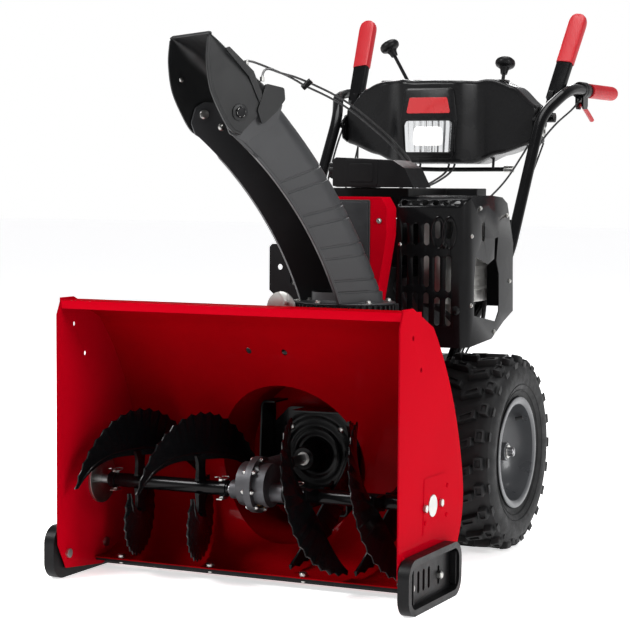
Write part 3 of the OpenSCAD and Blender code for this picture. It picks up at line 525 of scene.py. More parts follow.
marks = [(i / 40, 0.0) for i in range(41)]
for pair in ((763, 743), (700, 680), (638, 617), (575, 553)):
    for z in pair:
        t = t_at(z)
        marks = [m for m in marks if abs(m[0] - t) > 0.008]
        marks += [(t - 0.0062, 0.0), (t - 0.0036, 1.3), (t + 0.0036, 1.3), (t + 0.0062, 0.0)]
marks.sort()
b = Build()
rows = []
for t, inset in marks:
    front, back = chute_row(t)
    rows.append(section(front, back, 71, 3, 50 - 14 * t, 5.6 if t < 0.84 else 0.0, 7, inset))
b.rings(rows)
for s in (-1, 1):
    ear = rounded_outline([(268, 838), (303, 856), (312, 878), (303, 908), (284, 919), (252, 918),
                           (222, 932), (190, 912), (200, 880)], [4, 6, 10, 10, 12, 12, 4, 4, 4], 5)
    x0, x1 = (67.5, 71.5) if s > 0 else (-71.5, -67.5)
    b.rings([[C(x, q[0], q[1]) for q in ear] for x in (x0, x1)])
b.lathe([(64, 528.2), (94.5, 528.2), (96, 529.5), (96, 531), (94.5, 532), (74, 532), (70.5, 536), (70, 552),
         (67, 552), (64, 545)], AXIS, (0, 0, 1), 72)
chute = b.make("chute_channel", "chute", "chute_assembly", "chute_grey", 0.5, 30, replaces=["chute"])

# Painted shade: a near-black sheet laid just inside the channel, standing in for the shade on its inner
# walls.
b = Build()
rows = []
for i in range(31):
    t = 0.02 + 0.96 * i / 30
    front, back = chute_row(t)
    full = section(front, back, 71, 3.25, 50 - 14 * t, 0, 7)
    rows.append(full[32:])
b.rings(rows, closed_ring=False, caps=False)
b.make("chute_painted_shade_lining", "chute_painted_shade", "chute_assembly", "chute_grey")

b = Build()
for s in (-1, 1):
    b.dome(C(s * 67.9, 247, 872), -N * s, 8, 4)
for k in range(5):
    a = math.radians(-56 + 360 / 5 * k + 20)
    b.hexhead(AXIS + Vector((84 * math.cos(a), 84 * math.sin(a), 532)), (0, 0, 1), 5, 4)
b.make("chute_bolts", "zinc", "chute_assembly", "zinc_steel")

# ---------------------------------------------------------------- deflector

front_line = curve([(v[0], v[1], 0) for v in ((286, 853), (306, 862), (325, 889), (348, 937), (356, 990),
                                              (353, 1032))], 8)
back_line = curve([(v[0], v[1], 0) for v in ((194, 941), (206, 945), (222, 950), (258, 978), (300, 1012),
                                             (347, 1040))], 8)
b = Build()
rows = []
for i, (f, k) in enumerate(zip(front_line, back_line)):
    t = i / (len(front_line) - 1)
    rows.append(section(Vector((f.x, f.y)), Vector((k.x, k.y)), 79, 3, 30, 2.4, 7))
b.rings(rows)
b.tube(rows[-1][4:28], 3.0, 14, 0)
for s in (-1, 1):
    b.lathe([(5.6, 0), (15, 0), (16, 1), (16, 2.4), (14, 3.2), (5.6, 3.2)], C(s * 78.8, 286, 895), N * s, 40)
    ear = rounded_outline([(193, 943), (191, 921), (208, 899), (240, 872), (250, 900), (232, 950)],
                          [6, 8, 8, 6, 6, 6], 4)
    x0, x1 = (77.5, 83) if s > 0 else (-83, -77.5)
    b.rings([[C(x, q[0], q[1]) for q in ear] for x in (x0, x1)])
    rib = rounded_outline([(232, 886), (268, 962), (318, 1012), (310, 1016), (258, 972), (224, 892)], 4, 3)
    x0, x1 = (78.6, 82) if s > 0 else (-82, -78.6)
    b.rings([[C(x, q[0], q[1]) for q in rib] for x in (x0, x1)])
b.make("deflector_shell", "hood", "deflector_hood", "chute_grey", 0.7, 30, replaces=["deflector"])
b = Build()
for s in (-1, 1):
    b.lathe([(0.01, 0), (11, 0), (11, 2), (9.5, 4.4), (5, 5.4), (0.01, 5.6)],
            C(s * 82.3, 286, 895), N * s, 6)
b.make("hinge_bolt_heads", "black_matt", "chute_assembly", "black_steel", 0.8)
b = Build()
for s in (-1, 1):
    for q in ((232, 936), (262, 958), (330, 960)):
        b.dome(C(s * 75.9, *q), -N * s, 4.5, 2.4)
b.make("deflector_bolts", "zinc", "deflector_hood", "zinc_steel")

# ---------------------------------------------------------------- wheels

WHEEL = (252.5, 708.0, 205.0)
tyre_profile = [(108, 55), (107.9, 68), (112, 70), (122, 70.5), (128, 72), (138, 77.5), (150, 80.6),
                (165, 81.8), (176, 79.5), (184, 75), (188.5, 67), (190.4, 56), (191, 30), (191.2, 0)]
tyre_profile = tyre_profile + [(r, -h) for r, h in tyre_profile[-2::-1]]
tyre_profile += [(128, -60), (150, -70), (174, -68), (184, -50), (184, 50), (174, 68), (150, 70), (128, 60)]

for sign, side in ((1, "left"), (-1, "right")):
    c = (sign * WHEEL[0], WHEEL[1], WHEEL[2])
    b = Build()
    b.lathe([(r, h) for r, h in tyre_profile], c, (1, 0, 0), 128)
    for h in (73.5, 78.6):
        r = 131 if h < 75 else 143
        b.lathe([(r - 1.2, h), (r, h + 1.6), (r + 1.2, h)], c, (sign, 0, 0), 96)
    b.make("tyre_body_" + side, "tyre", "wheel_" + side, "tyre_rubber", 0, 30, replaces=["tyre_" + side])
    b = Build()

    def surf(x, lift):
        """Radius of the tread at a distance from the middle."""
        q = abs(x)
        r = 191.2 - 0.8 * (q / 56) ** 2 if q < 56 else 190.4 - (q - 56) ** 2 * 0.030
        return min(r + lift, 204.6)

    def lug(a0, outline, lift=13.5, dish=True):
        """A block of tread: outline of (along, across) in mm, dished in its middle."""
        o = rounded_outline(outline, 3.2, 3)
        mx = sum(p[0] for p in o) / len(o)
        my = sum(p[1] for p in o) / len(o)
        rings = []
        levels = [(1.12, -3.0), (1.0, lift - 1.4), (0.95, lift)]
        if dish:
            levels += [(0.62, lift), (0.55, lift - 4.0), (0.05, lift - 4.0)]
        else:
            levels += [(0.05, lift)]
        for k, z in levels:
            ring = []
            for u, x in o:
                uu, xx = mx + (u - mx) * k, my + (x - my) * k
                a = a0 + uu / 200
                r = surf(xx, z)
                ring.append((c[0] + sign * xx, c[1] + r * math.sin(a), c[2] + r * math.cos(a)))
            rings.append(ring)
        b.rings(rings)

    count = 22
    for i in range(count):
        a = 2 * math.pi * i / count
        for w in (1, -1):
            off = 0.0 if w > 0 else math.pi / count
            lug(a + off, [(-8, w * 4), (8, w * 4), (25, w * 44), (7, w * 44)])
            lug(a + off + 0.145, [(-13, w * 51), (12, w * 51), (12, w * 69), (-13, w * 69)], 14)
            o = [(-11, 69), (11, 69), (9, 77), (-9, 77)]
            rings = []
            for lift in (-2.0, 2.6):
                rings.append([(c[0] + w * (76.5 + lift * 0.8 - (q[1] - 69) * 0.05),
                               c[1] + (188 - (q[1] - 69) * 1.5 + lift * 1.6)
                               * math.sin(a + off + 0.145 + q[0] / 200),
                               c[2] + (188 - (q[1] - 69) * 1.5 + lift * 1.6)
                               * math.cos(a + off + 0.145 + q[0] / 200)) for q in o])
            b.rings(rings)
    b.make("tread_" + side, "tyre", "wheel_" + side, "tyre_rubber", 0, 28)
    b = Build()
    b.lathe([(101, -75), (112, -75.4), (116, -75), (117, -73.5), (116, -71.8), (110, -69.5), (107.4, -66),
             (107.4, 66), (110, 69.5), (116, 71.8), (117, 73.5), (116, 75), (112, 75.4), (104.5, 74.5),
             (101.5, 72), (100.4, 60), (99, 46), (93, 30), (82, 15), (70, 6), (56, 2.5), (40, 2),
             (27, 2.6), (22, 5), (20, 10), (19, 51), (18, 52), (9.7, 52), (9.7, -30), (19, -30), (19, -2),
             (60, -2), (86, 10), (98, 40), (101, 60)], c, (sign, 0, 0), 112)
    for k in range(4):
        a = math.pi / 4 + k * math.pi / 2
        b.dome((c[0] + sign * 3, c[1] + 40 * math.cos(a), c[2] + 40 * math.sin(a)), (sign, 0, 0), 4, 2)
    b.make("wheel_rim_" + side, "rim", "wheel_" + side, "rim_grey", 0, 40, replaces=["rim_" + side])
    b = Build()
    b.tube([(c[0] + sign * 40, c[1] - 26, c[2]), (c[0] + sign * 40, c[1] + 26, c[2])], 3, 10, 0)
    b.tube([(c[0] + sign * 40, c[1] + 22 + 8 * math.sin(t), c[2] + 8 - 8 * math.cos(t))
            for t in (k * math.pi / 8 for k in range(15))], 1.3, 8, 1)
    b.lathe([(9.7, 52.2), (14, 52.2), (14, 54), (9.7, 54)], c, (sign, 0, 0), 32)
    b.make("wheel_pin_" + side, "zinc", "wheel_" + side, "zinc_steel")
    b = Build()
    b.tube([(c[0] + sign * 47, c[1] + 62, c[2] + 62), (c[0] + sign * 62, c[1] + 64, c[2] + 66)], 4.2, 12, 0)
    b.make("valve_" + side, "rubber", "wheel_" + side, "tyre_rubber", 0.6)

# ---------------------------------------------------------------- housing trim

b = Build()
lip = [(11.4, 523), (11.4, 537.6), (12.6, 539.6), (17, 540.4), (17, 537.5), (14.8, 536.6), (14.2, 535),
       (14.2, 523)]
b.prism(lip, -352.4, 352.4)
b.make("housing_lip", "red", "machine", "housing_red", 0.5)
b = Build()
for s in (1, -1):
    for y, z in ((120, 150), (225, 150), (228, 205)):
        b.dome((s * 357, y, z), (s, 0, 0), 4.5, 2.4)
    b.dome((s * 355.5, 20, 100), (s, 0, 0), 6, 3)
b.make("plate_rivets", "red", "machine", "housing_red")
b = Build()
for s in (1, -1):
    for y in (35, 172):
        b.dome((s * (355.5 + 14.2), y, 47), (s, 0, 0), 6.5, 2.5)
for x in (-300, -100, 100, 300):
    b.dome((x, 146, 28.1), (0, 0, 1), 8.5, 4)
for x in (-60, 60):
    for z in (300, 380):
        b.hexhead((x, 445, z), (0, -1, 0), 6, 4)
b.make("housing_bolt_heads", "zinc", "machine", "zinc_steel")

# Skid shoe ribs.
b = Build()
for s in (1, -1):
    for y in (14, 24, 230, 240):
        o = rounded_outline([(y - 1.6, 20), (y + 1.6, 20), (y + 1.6, 82), (y - 1.6, 82)], 1, 3)
        b.prism(o, s * 364 if s > 0 else -376, s * 376 if s > 0 else -364)
b.make("shoe_ribs", "plastic", "machine", "black_plastic", 0.8)

# ---------------------------------------------------------------- belt cover front

b = Build()
o = rounded_outline([(-92, 404), (84, 404), (84, 600), (84, 732), (-102, 732), (-116, 712), (-116, 662),
                     (-92, 520)],
                    [4, 4, 3, 4, 12, 12, 16, 20], 6)
b.rings([[(x, y, z) for x, z in o] for y in (482.4, 480.2)])
o2 = [(x * 0.955 - 0.6, 568 + (z - 568) * 0.975) for x, z in o]
b.rings([[(x, y, z) for x, z in o2] for y in (480.8, 478.8)])
b.make("belt_cover_panel", "panel", "machine", "chute_grey", 0.8)
b = Build()
for x, z in ((104, 690), (92, 560), (-84, 560), (-60, 690), (30, 690)):
    b.hexhead((x, 481.6 if x > 90 else 479, z), (0, -1, 0), 4.2, 3)
b.make("belt_cover_bolts", "zinc", "machine", "zinc_steel")

# ---------------------------------------------------------------- engine trim

b = Build()
for cx in (214, 238):
    b.tube([(cx + 14.5 * math.sin(t), 529.6, 667 + (29 + 3 * math.cos(2 * t)) * math.cos(t))
            for t in (2 * math.pi * k / 40 for k in range(41))], 2.2, 8, 0)
b.make("guard_beads", "black", "machine", "black_steel", 0, 40)
b = Build()
b.box((124, 797, 505), (274, 799, 690))
b.box((150, 745, 505), (152, 797, 690))
b.make("guard_back", "black_matt", "machine", "black_steel", 0.5)
b = Build()
b.dome((227, 529.6, 641), (0, -1, 0), 7, 4)
b.dome((252, 529.6, 510), (0, -1, 0), 10, 6)
b.make("guard_domes", "black", "machine", "black_steel")
b = Build()
for z in (642, 466):
    b.dome((130, 529.8, z), (0, -1, 0), 4, 2.5)
for y, z in ((600, 716), (552, 660), (552, 520), (690, 458), (762, 700), (782, 560)):
    b.hexhead((277, y, z), (1, 0, 0), 3.6, 2.4)
b.make("guard_bolts", "zinc", "machine", "zinc_steel")
b = Build()
for k in range(7):
    z = 545 + k * 22
    b.box((239.5, 580, z), (242, 740, z + 7))
b.make("muffler_ribs", "muffler", "machine", "cast_alloy", 0.8)
b = Build()
b.tube([(120, 640, 520), (200, 590, 505), (235, 600, 470), (245, 660, 452), (240, 730, 450)], 6, 16)
b.tube([(130, 700, 452), (200, 760, 448), (220, 770, 470), (226, 772, 520)], 4.5, 14)
b.make("fuel_hoses", "rubber", "machine", "black_plastic")

# Embossed front of the air box.
b = Build()
o = rounded_outline([(-2, 760), (72, 760), (72, 814), (-2, 814)], 8, 6)
b.rings([[(x, y, z) for x, z in o] for y in (546, 543.6)])
o = rounded_outline([(8, 768), (62, 768), (62, 806), (8, 806)], 6, 6)
b.rings([[(x, y, z) for x, z in o] for y in (544, 542)])
b.make("air_box_panel", "plastic", "machine", "black_plastic", 0.9)
b = Build()
for k in range(12):
    a = k * math.pi / 6
    b.box((-48, 583.2 + 16.2 * math.cos(a), 790.4 + 16.2 * math.sin(a)),
          (-33, 586.8 + 16.2 * math.cos(a), 793.6 + 16.2 * math.sin(a)))
b.make("choke_ribs", "plastic", "choke", "black_plastic", 0.6)
b = Build()
for k in range(24):
    a = k * math.pi / 12
    b.box((-50 + 32.2 * math.cos(a) - 1.3, 760 + 32.2 * math.sin(a) - 1.3, 759),
          (-50 + 32.2 * math.cos(a) + 1.3, 760 + 32.2 * math.sin(a) + 1.3, 774))
b.make("cap_ribs", "plastic", "tank_cap", "black_plastic", 0.5)
b = Build()
for k in range(18):
    a = k * math.pi / 9
    r = Matrix.Rotation(a, 4, "Y")
    s = len(b.v)
    b.box((-1.5, 829, 88), (1.5, 832.5, 112))
    b.turn(Matrix.Translation((0, 0, 500)) @ r, s)
b.make("recoil_louvres", "plastic", "machine", "black_plastic", 0.5)
b = Build()
b.tube([(0, 700, 500), (0, 862, 500)], 2.4, 10, 0)
b.make("starter_rope", "rubber", "starter", "black_plastic")

# ---------------------------------------------------------------- control panel

def lerp(points, x):
    """Height of a smooth line through (x, height) points."""
    for (xa, ya), (xb, yb) in zip(points, points[1:]):
        if x <= xb:
            t = (x - xa) / (xb - xa)
            return ya + (yb - ya) * (t * 0.4 + 0.6 * t * t * (3 - 2 * t))
    return points[-1][1]


def dash_section(x, inset):
    """Outline of the panel shell at a distance from the middle, from its lower to its upper rear edge."""
    q = abs(x)
    front = lerp([(0, 1001), (66, 1002), (118, 1036), (234, 1062)], q) + inset
    low = lerp([(0, 812), (96, 812), (150, 833), (234, 860)], q) + inset
    bump = 5 * math.exp(-((x - 128) / 20) ** 4) + 4.5 * math.exp(-((x + 97) / 46) ** 6)
    top = lerp([(0, 1002), (150, 999), (180, 988), (234, 944)], q) + bump - inset
    r = max(11 - inset, 3)
    pts = [(1129, low), (1090, low)]
    arc = [(math.sin(k * math.pi / 16), math.cos(k * math.pi / 16)) for k in range(9)]
    pts += [(front + r - r * across, low + r - r * along) for across, along in arc]
    pts += [(front, low + (top - low) * k / 4) for k in (1, 2, 3)]
    pts += [(front + r - r * along, top - r + r * across) for across, along in arc]
    flat_start = 1064 if front + r < 1062 else front + r + 1
    pts += [(y, top) for y in (flat_start, 1074, 1096, 1126, 1129)]
    return [(x, y, z) for y, z in pts]


stations = sorted(set([-234, 234, -232, 232, -228, 228, 125, 143, -150, -52]
                      + [k * 8 for k in range(-28, 29) if min(abs(k * 8 - 125), abs(k * 8 - 143),
                                                              abs(k * 8 + 150), abs(k * 8 + 52)) > 2]))
b = Build()
rows = [dash_section(x, 3 if abs(x) == 234 else (1 if abs(x) == 232 else 0)) + dash_section(x, 5)[::-1]
        for x in stations]
b.rings(rows, caps=False)
half = len(rows[0]) // 2


def in_slot(face):
    c = sum((b.v[i] for i in face), Vector()) / 4
    shift = 125 < c.x < 143 and 1062 < c.y < 1128
    stick = -150 < c.x < -52 and 1074 < c.y < 1127
    return c.z > 985 and (shift or stick)


b.f = [f for f in b.f if not in_slot(f)]
for x in (-234, 234):
    b.rings([[(x0, q[1], q[2]) for q in dash_section(x, 3)] for x0 in (x, x * 0.985)])
b.make("dash_shell", "dash", "machine", "black_plastic", 0, 40, replaces=["dash_panel"])
b = Build()
bezel = rounded_outline([(-58, 822), (58, 822), (70, 905), (60, 984), (-60, 984), (-70, 905)],
                        [14, 14, 40, 14, 14, 40], 6)
mid = [(x * 0.93, 903 + (z - 903) * 0.95) for x, z in bezel]
b.rings([[(x, 1003, z) for x, z in bezel], [(x, 998.4, z) for x, z in bezel],
         [(x, 996.6, z) for x, z in mid]])
b.make("dash_bezel", "dash", "machine", "black_plastic", 1.2, 35, segments=3)
b = Build()
ring_a = rounded_outline([(-62, 834), (62, 834), (66, 900), (58, 913), (-58, 913), (-66, 900)], 12, 6)
ring_b = [(x * 0.94, 873 + (z - 873) * 0.90) for x, z in ring_a]
b.rings([[(x, 997.6, z) for x, z in ring_a], [(x, 992.6, z) for x, z in ring_a],
         [(x, 992.6, z) for x, z in ring_b], [(x, 998, z) for x, z in ring_b]], caps=False)
b.make("lamp_frame", "dash", "machine", "black_plastic", 0.8)
b = Build()
grid = []
for i in range(21):
    row = []
    for k in range(33):
        x, z = -60 + 120 * k / 32, 837 + 72 * i / 20
        w = 1 - 0.06 * abs(z - 900) / 60
        y = 995.9 + 0.5 * math.cos(k * math.pi * 0.5) - 1.2 * math.cos(x / 60 * 1.5)
        row.append((x * w, y, z))
    grid.append(row)
b.rings(grid, closed_ring=False, caps=False)
b.make("lamp_optic", "reflector", "machine", "lamp_lens", 0, 60)
b = Build()
# Painted highlight: a near-white plate in the middle of the lamp stands for the glare of its reflector.
glare = rounded_outline([(-38, 852), (38, 852), (34, 896), (-34, 896)], 12, 6)
b.rings([[(x, y, z) for x, z in glare] for y in (996, 994.2)])
b.make("lamp_painted_glare", "painted_glare", "machine", "lamp_lens", 1.0, 35)
b = Build()
o = rounded_outline([(-54, 926), (54, 926), (46, 962), (-46, 962)], 5, 5)
b.rings([[(x, y, z) for x, z in o] for y in (997, 994.6)])
b.make("blank_badge", "badge", "machine", "housing_red", 0.7)
b = Build()
b.tube([(-70, 1094, 812), (-60, 1094, 800), (150, 1094, 800)], 5, 16, 4)
b.make("interlock_rod", "black_matt", "machine", "zinc_steel")
b = Build()
b.tube([(150, 1094, 800), (172, 1094, 800)], 8, 16, 0)
b.tube([(-76, 1094, 800), (-60, 1094, 800)], 7, 16, 0)
b.make("rod_ends", "zinc", "machine", "zinc_steel", 0.8)
b = Build()
b.tube([(shift, 1085, z) for shift, z in ((134, 902), (134, 870), (128, 830), (126, 801))], 3, 10)
b.tube([(-64, 1100, 924), (-66, 1098, 880), (-70, 1094, 812)], 3, 10)
b.make("control_links", "black_matt", "machine", "zinc_steel")

# Boots round the two levers.
b = Build()
for x, y in ((134, 1100), (-102, 1100)):
    w, opening = (20, 0.72) if x > 0 else (52, 0.88)
    o = rounded_outline([(x - w, y - 26), (x + w, y - 26), (x + w, y + 22), (x - w, y + 22)], 12, 6)
    z = 1004.5 if x > 0 else 1006.5
    i = [(x + (q[0] - x) * opening, y + (q[1] - y) * opening) for q in o]
    b.rings([[(q[0], q[1], z - 4) for q in o], [(q[0], q[1], z) for q in o], [(q[0], q[1], z) for q in i],
             [(q[0], q[1], z - 4) for q in i]], caps=False, loop=True)
b.make("lever_bezels", "dash", "machine", "black_plastic", 0.8)

# ---------------------------------------------------------------- handles

TUBE = [(149, 735, 262), (149, 775, 395), (250, 850, 608), (252, 1050, 921), (284, 1122, 974),
        (288, 1176, 985), (292, 1272, 985), (304, 1424, 985)]


def soft_path(pts, cut):
    """Straight runs with rounded bends."""
    p = [Vector(q) for q in pts]
    out = [p[0]]
    for i in range(1, len(p) - 1):
        a, c = (p[i - 1] - p[i]), (p[i + 1] - p[i])
        k = min(cut, a.length * 0.45, c.length * 0.45)
        s, e = p[i] + a.normalized() * k, p[i] + c.normalized() * k
        for j in range(9):
            t = j / 8
            out.append(s * (1 - t) ** 2 + 2 * p[i] * t * (1 - t) + e * t * t)
    return out + [p[-1]]


for sign, side in ((1, "left"), (-1, "right")):
    b = Build()
    b.tube([(sign * x, y, z) for x, y, z in soft_path(TUBE, 45)], 12.5, 28, 0)
    plate = rounded_outline([(1046, 872), (1074, 862), (1134, 900), (1134, 934), (1100, 944), (1040, 912)],
                            8, 5)
    b.prism(plate, sign * 234, sign * 238)
    b.tube([(sign * 236, 1052, 900), (sign * 252, 1044, 908)], 7, 16, 0)
    b.prism(rounded_outline([(1222, 976), (1222, 948), (1230, 941), (1252, 941), (1258, 950), (1258, 976)],
                            4, 4), sign * 276, sign * 280.6)
    b.prism(rounded_outline([(1222, 976), (1222, 948), (1230, 941), (1252, 941), (1258, 950), (1258, 976)],
                            4, 4), sign * 291.4, sign * 296)
    b.prism(rounded_outline([(600, 300), (625, 288), (705, 430), (690, 452), (676, 450)], 8, 4),
            sign * 136, sign * 140)
    b.tube([(sign * 138, 690, 440), (sign * 200, 800, 520), (sign * 246, 862, 628)], 6, 14, 1)
    b.make("handle_tube_" + side, "black", "machine", "black_steel", 0.6, 40,
           replaces=["handle_" + side])
    b = Build()
    b.lathe([(12.6, 0), (17, 0), (19.5, 2), (19.5, 10), (18, 12), (19.5, 14), (19.5, 30), (18.4, 34),
             (17.4, 42), (12.6, 44)], Vector((sign * 284, 1226, 985)), Vector((sign * 4, 46, 0)), 40)
    b.make("trigger_collar_" + side, "plastic", "machine", "black_plastic")
    b = Build()
    b.hexhead((sign * 238, 1068, 876), (sign, 0, 0), 5, 3.5)
    b.lathe([(5, -4), (12, -4), (13, -3), (10, 0), (13, 3), (12, 4), (5, 4)], (sign * 243, 1088, 886),
            (sign, 0, 0), 32)
    b.hexhead((sign * 141, 618, 305), (sign, 0, 0), 7, 5)
    b.hexhead((sign * 164, 735, 262), (sign, 0, 0), 8, 5)
    b.make("handle_bolts_" + side, "zinc", "machine", "zinc_steel")
    # grip with shallow finger ribs
    b = Build()
    a = Vector((sign * 292, 1272, 985))
    prof = [(12.7, 0), (16.4, 0), (17, 1)]
    for i in range(60):
        h = 3 + 140 * i / 59
        prof.append((16.3 + 0.65 * math.cos(h * 2 * math.pi / 9.6), h))
    prof += [(16.8, 146), (16, 152), (13, 156.5), (6, 158.6), (0.01, 159)]
    prof += [(0.01, 156), (12.7, 152)]
    b.lathe(prof, a, (sign * 12, 160, 0), 40)
    b.make("hand_grip_" + side, "grip", "machine", "grip_red", 0, 50)
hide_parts("grips")

# ---------------------------------------------------------------- levers

for sign, side in ((1, "left"), (-1, "right")):
    rot = (Matrix.Translation((244, 1118, 918)) @ Matrix.Rotation(math.radians(6), 4, "Y")
           @ Matrix.Rotation(math.radians(-31.5), 4, "X"))
    flip = Matrix.Scale(-1, 4, (1, 0, 0)) if sign < 0 else Matrix.Identity(4)

    def channel(z0, z1, w0, w1, depth, wall, r=6.0, n=14, front=-8.0, cap=True):
        rings = []
        for i in range(n + 1):
            t = i / n
            z = z0 + (z1 - z0) * t
            w = w0 + (w1 - w0) * t
            k = 1.0
            if cap and t > 0.8:
                k = math.sqrt(max(0.0, 1 - ((t - 0.8) / 0.2) ** 2)) * 0.45 + 0.55
            w *= k
            o = [(-w / 2, depth + front), (-w / 2, front + r), (-w / 2 + r * 0.3, front + r * 0.3),
                 (-w / 2 + r, front), (w / 2 - r, front), (w / 2 - r * 0.3, front + r * 0.3),
                 (w / 2, front + r), (w / 2, depth + front), (w / 2 - wall, depth + front),
                 (w / 2 - wall, front + r), (w / 2 - r, front + wall), (-w / 2 + r, front + wall),
                 (-w / 2 + wall, front + r), (-w / 2 + wall, depth + front)]
            rings.append([(x, y, z) for x, y in o])
        return rings

    b = Build()
    b.rings(channel(52, 200, 36, 38, 15, 2.4, 5, 6, cap=False))
    b.turn(flip @ rot)
    s = len(b.v)
    b.lathe([(0.01, -5), (11, -5), (11, 18), (0.01, 18)], (244, 1118, 918), (1, 0, 0), 32)
    arm = [(1110, 912), (1128, 914), (1158, 974), (1138, 982), (1106, 930)]
    b.prism(rounded_outline(arm, 5, 4), 239.4, 251)
    b.turn(flip, s)
    b.make("lever_arm_" + side, "black", "clutch_" + side, "black_steel", 0.7, 35,
           replaces=["lever_" + side])
    b = Build()
    b.rings(channel(150, 285, 41, 43, 19, 4.2, 8, 24, front=-10.5))
    b.turn(flip @ rot)
    b.make("lever_cap_" + side, "grip", "clutch_" + side, "grip_red", 1.6, 30, segments=3)

    # steering trigger
    b = Build()
    p = Vector((286, 1243, 952))
    path = [p + Vector(q) for q in ((0, 0, 0), (0.6, 12, -5), (1.4, 24, -11), (3, 46, -23), (4, 66, -34))]
    b.tube(path, lambda t: 4.6 + 1.2 * min(1, t * 2), 18, 5, 0.8)
    b.lathe([(2.7, -4.5), (6, -4.5), (6, 4.5), (2.7, 4.5)], p, (1, 0, 0), 28)
    b.turn(flip)
    b.make("trigger_blade_" + side, "grip", "trigger_" + side[0], "grip_red", 0, 45,
           replaces=["trigger_" + side])

# ---------------------------------------------------------------- knobs


def knob_profile(z):
    return [(0.01, z - 2), (7.5, z - 2), (8, z), (9.5, z + 8), (12.5, z + 13), (17, z + 15), (21, z + 18),
            (23, z + 22.5), (23, z + 27), (21.5, z + 31.5), (17, z + 35.5), (10, z + 38), (0.01, z + 38.6)]


b = Build()
b.tube([(0, 0, -14), (0, 0, 126)], 4, 16, 0)
b.lathe(knob_profile(124), (0, 0, 0), (0, 0, 1), 56)
b.lathe([(0.01, -12), (8, -12), (8, 12), (0.01, 12)], (0, 0, 0), (1, 0, 0), 28)
b.turn(Matrix.Translation((134, 1085, 905)) @ Matrix.Rotation(math.radians(-20), 4, "X"))
b.make("speed_knob", "plastic", "speed_lever", "black_plastic", 0, 35, replaces=["shift_lever"])
b = Build()
b.tube([(0, 0, 6), (0, 0, 136)], 4, 16, 0)
b.lathe(knob_profile(134), (0, 0, 0), (0, 0, 1), 56)
b.lathe([(0.01, -9), (8, -9), (8, 9), (0.01, 9)], (0, 0, 0), (1, 0, 0), 28)
b.turn(Matrix.Translation((-62, 1100, 950)) @ Matrix.Rotation(math.radians(-30), 4, "Y"))
b.make("joystick_knob", "plastic", "chute_stick", "black_plastic", 0, 35, replaces=["joystick"])

# ---------------------------------------------------------------- cables

HOOD = [[(-13, 121, 992), (-38, 180, 996), (-62, 250, 998), (-84, 330, 997), (-104, 430, 992),
         (-116, 520, 984), (-120, 600, 970)],
        [(6, 149, 962), (-20, 205, 975), (-48, 270, 985), (-73, 340, 990), (-96, 435, 988),
         (-110, 522, 986), (-114, 602, 978)]]
RUN = [(-114, 700, 952), (-100, 780, 928), (-78, 850, 892), (-50, 905, 850), (-20, 930, 806), (-6, 925, 770),
       (-4, 915, 740)]
CLUTCH = [(232, 1128, 860), (226, 1080, 800), (220, 1010, 730), (210, 940, 640), (196, 890, 540),
          (178, 862, 450), (160, 840, 400), (150, 826, 372)]
b = Build()
for i in (0, 1):
    b.tube(HOOD[i], 2.3, 10, 8)
b.make("hood_cables", "rubber", ("chute_assembly", "machine", P(-10, 130, 980), P(-116, 590, 975)),
       "black_plastic", 0, 60)
b = Build()
for i in (0, 1):
    b.tube([HOOD[i][-1]] + [(x + 6 * i, y + 2 * i, z + 8 * i) for x, y, z in RUN], 2.3, 10, 6)
b.tube(CLUTCH, 2.0, 10, 6)
b.tube([(-x, y, z) for x, y, z in CLUTCH], 2.0, 10, 6)
STEERING = [(286, 1236, 968), (280, 1190, 940), (264, 1110, 900), (250, 1040, 850), (244, 985, 780),
            (240, 930, 690), (226, 868, 590), (190, 820, 480), (160, 790, 380)]
LEVER = [(220, 1100, 880), (204, 1060, 830), (180, 1010, 770), (150, 950, 720), (128, 900, 690)]
for s in (1, -1):
    b.tube([(s * x, y, z) for x, y, z in STEERING], 2.2, 10, 6)
    b.tube([(s * x, y, z) for x, y, z in LEVER], 2.2, 10, 6)
for x, z in ((30, 800), (44, 802), (-40, 800)):
    b.tube([(x, 1060, 850), (x + 2, 1040, z), (x * 0.8 + 6, 960, 772), (x * 0.6, 880, 752)], 2.4, 10, 6)
b.make("cable_runs", "rubber", "machine", "black_plastic", 0, 60, replaces=["control_cables"])
b = Build()
b.tube([(-126, 598, 966), (-108, 602, 982)], 6.5, 14, 0)
b.make("cable_clip", "plastic", "machine", "black_plastic", 1.0)
b = Build()
for q, z in (((-13, 121), 984), ((6, 149), 955)):
    b.tube([(q[0], q[1], z), (q[0], q[1], z + 9)], 4.2, 12, 0)
b.make("cable_ends", "zinc", "deflector_hood", "zinc_steel", 0.5)

# ---------------------------------------------------------------- floor, light, camera

fl = Build()
n = 48
fl.rings([[(-30000 + 60000 * k / n, -30000 + 60000 * i / n, -0.2) for k in range(n + 1)]
          for i in range(n + 1)], closed_ring=False, caps=False)
me = bpy.data.meshes.new("floor")
me.from_pydata([p / 1000 for p in fl.v], [], fl.f)
floor = bpy.data.objects.new("floor", me)
bpy.context.scene.collection.objects.link(floor)
fm = material("floor", (0.94, 0.94, 0.94), 0.85, vary=0.01, grain=200, bump=0.02, blotch=1.5)
fm.node_tree.nodes["Principled BSDF"].inputs["Emission Color"].default_value = (1, 1, 1, 1)
fm.node_tree.nodes["Principled BSDF"].inputs["Emission Strength"].default_value = 0.62
me.materials.append(fm)

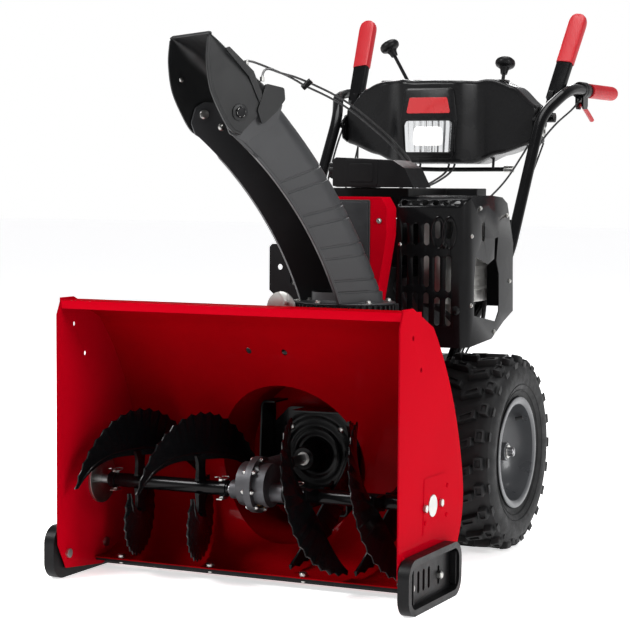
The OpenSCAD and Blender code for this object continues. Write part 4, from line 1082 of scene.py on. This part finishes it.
world = bpy.data.worlds.new("studio")
world.use_nodes = True
bpy.context.scene.world = world
wn, wl = world.node_tree.nodes, world.node_tree.links
bg = wn["Background"]
tc = wn.new("ShaderNodeTexCoord")
sp = wn.new("ShaderNodeSeparateXYZ")
rp = wn.new("ShaderNodeValToRGB")
wl.new(tc.outputs["Generated"], sp.inputs[0])
wl.new(sp.outputs["Z"], rp.inputs[0])
rp.color_ramp.elements[0].color = (1.0, 1.0, 1.0, 1)
rp.color_ramp.elements[0].position = 0.11
rp.color_ramp.elements[1].position = 0.30
rp.color_ramp.elements[1].color = (0.34, 0.34, 0.35, 1)
wl.new(rp.outputs["Color"], bg.inputs["Color"])
bg.inputs["Strength"].default_value = 1.0
bpy.context.scene.view_settings.view_transform = "Standard"
bpy.context.scene.view_settings.gamma = 0.92


def area(name, at, target, size, power, size_y=None):
    l = bpy.data.lights.new(name, "AREA")
    l.shape = "RECTANGLE"
    l.size, l.size_y = size, size_y or size
    l.energy = power
    o = bpy.data.objects.new(name, l)
    o.location = at
    o.rotation_euler = (Vector(target) - Vector(at)).to_track_quat("-Z", "Y").to_euler()
    bpy.context.scene.collection.objects.link(o)


area("key", (-2.2, -3.0, 3.4), (0, 0, 0.5), 1.5, 150)
area("fill", (3.6, -1.6, 2.2), (0, 0.1, 0.5), 1.5, 85)
area("top", (0.2, 0.4, 4.2), (0, 0, 0.4), 2.2, 110)
area("back", (-1.6, 3.4, 2.6), (0, 0.2, 0.6), 2.0, 70)

cam_data = bpy.data.cameras.new("camera")
cam_data.sensor_width = 36.0
cam_data.lens = 36.0 * 1914 / 630
cam_data.clip_end = 100
cam = bpy.data.objects.new("camera", cam_data)
yaw, pitch, roll = math.radians(25.36), math.radians(3.91), math.radians(0.39)
back = Vector((math.sin(yaw) * math.cos(pitch), -math.cos(yaw) * math.cos(pitch), math.sin(pitch)))
right = (-back).cross(Vector((0, 0, 1))).normalized()
up = right.cross(-back)
r2 = right * math.cos(roll) + up * math.sin(roll)
u2 = -right * math.sin(roll) + up * math.cos(roll)
rotm = Matrix((r2, u2, back)).transposed().to_4x4()
cam.matrix_world = Matrix.Translation(P(1648, -3076, 763)) @ rotm
bpy.context.scene.collection.objects.link(cam)
bpy.context.scene.camera = cam

bpy.context.view_layer.update()
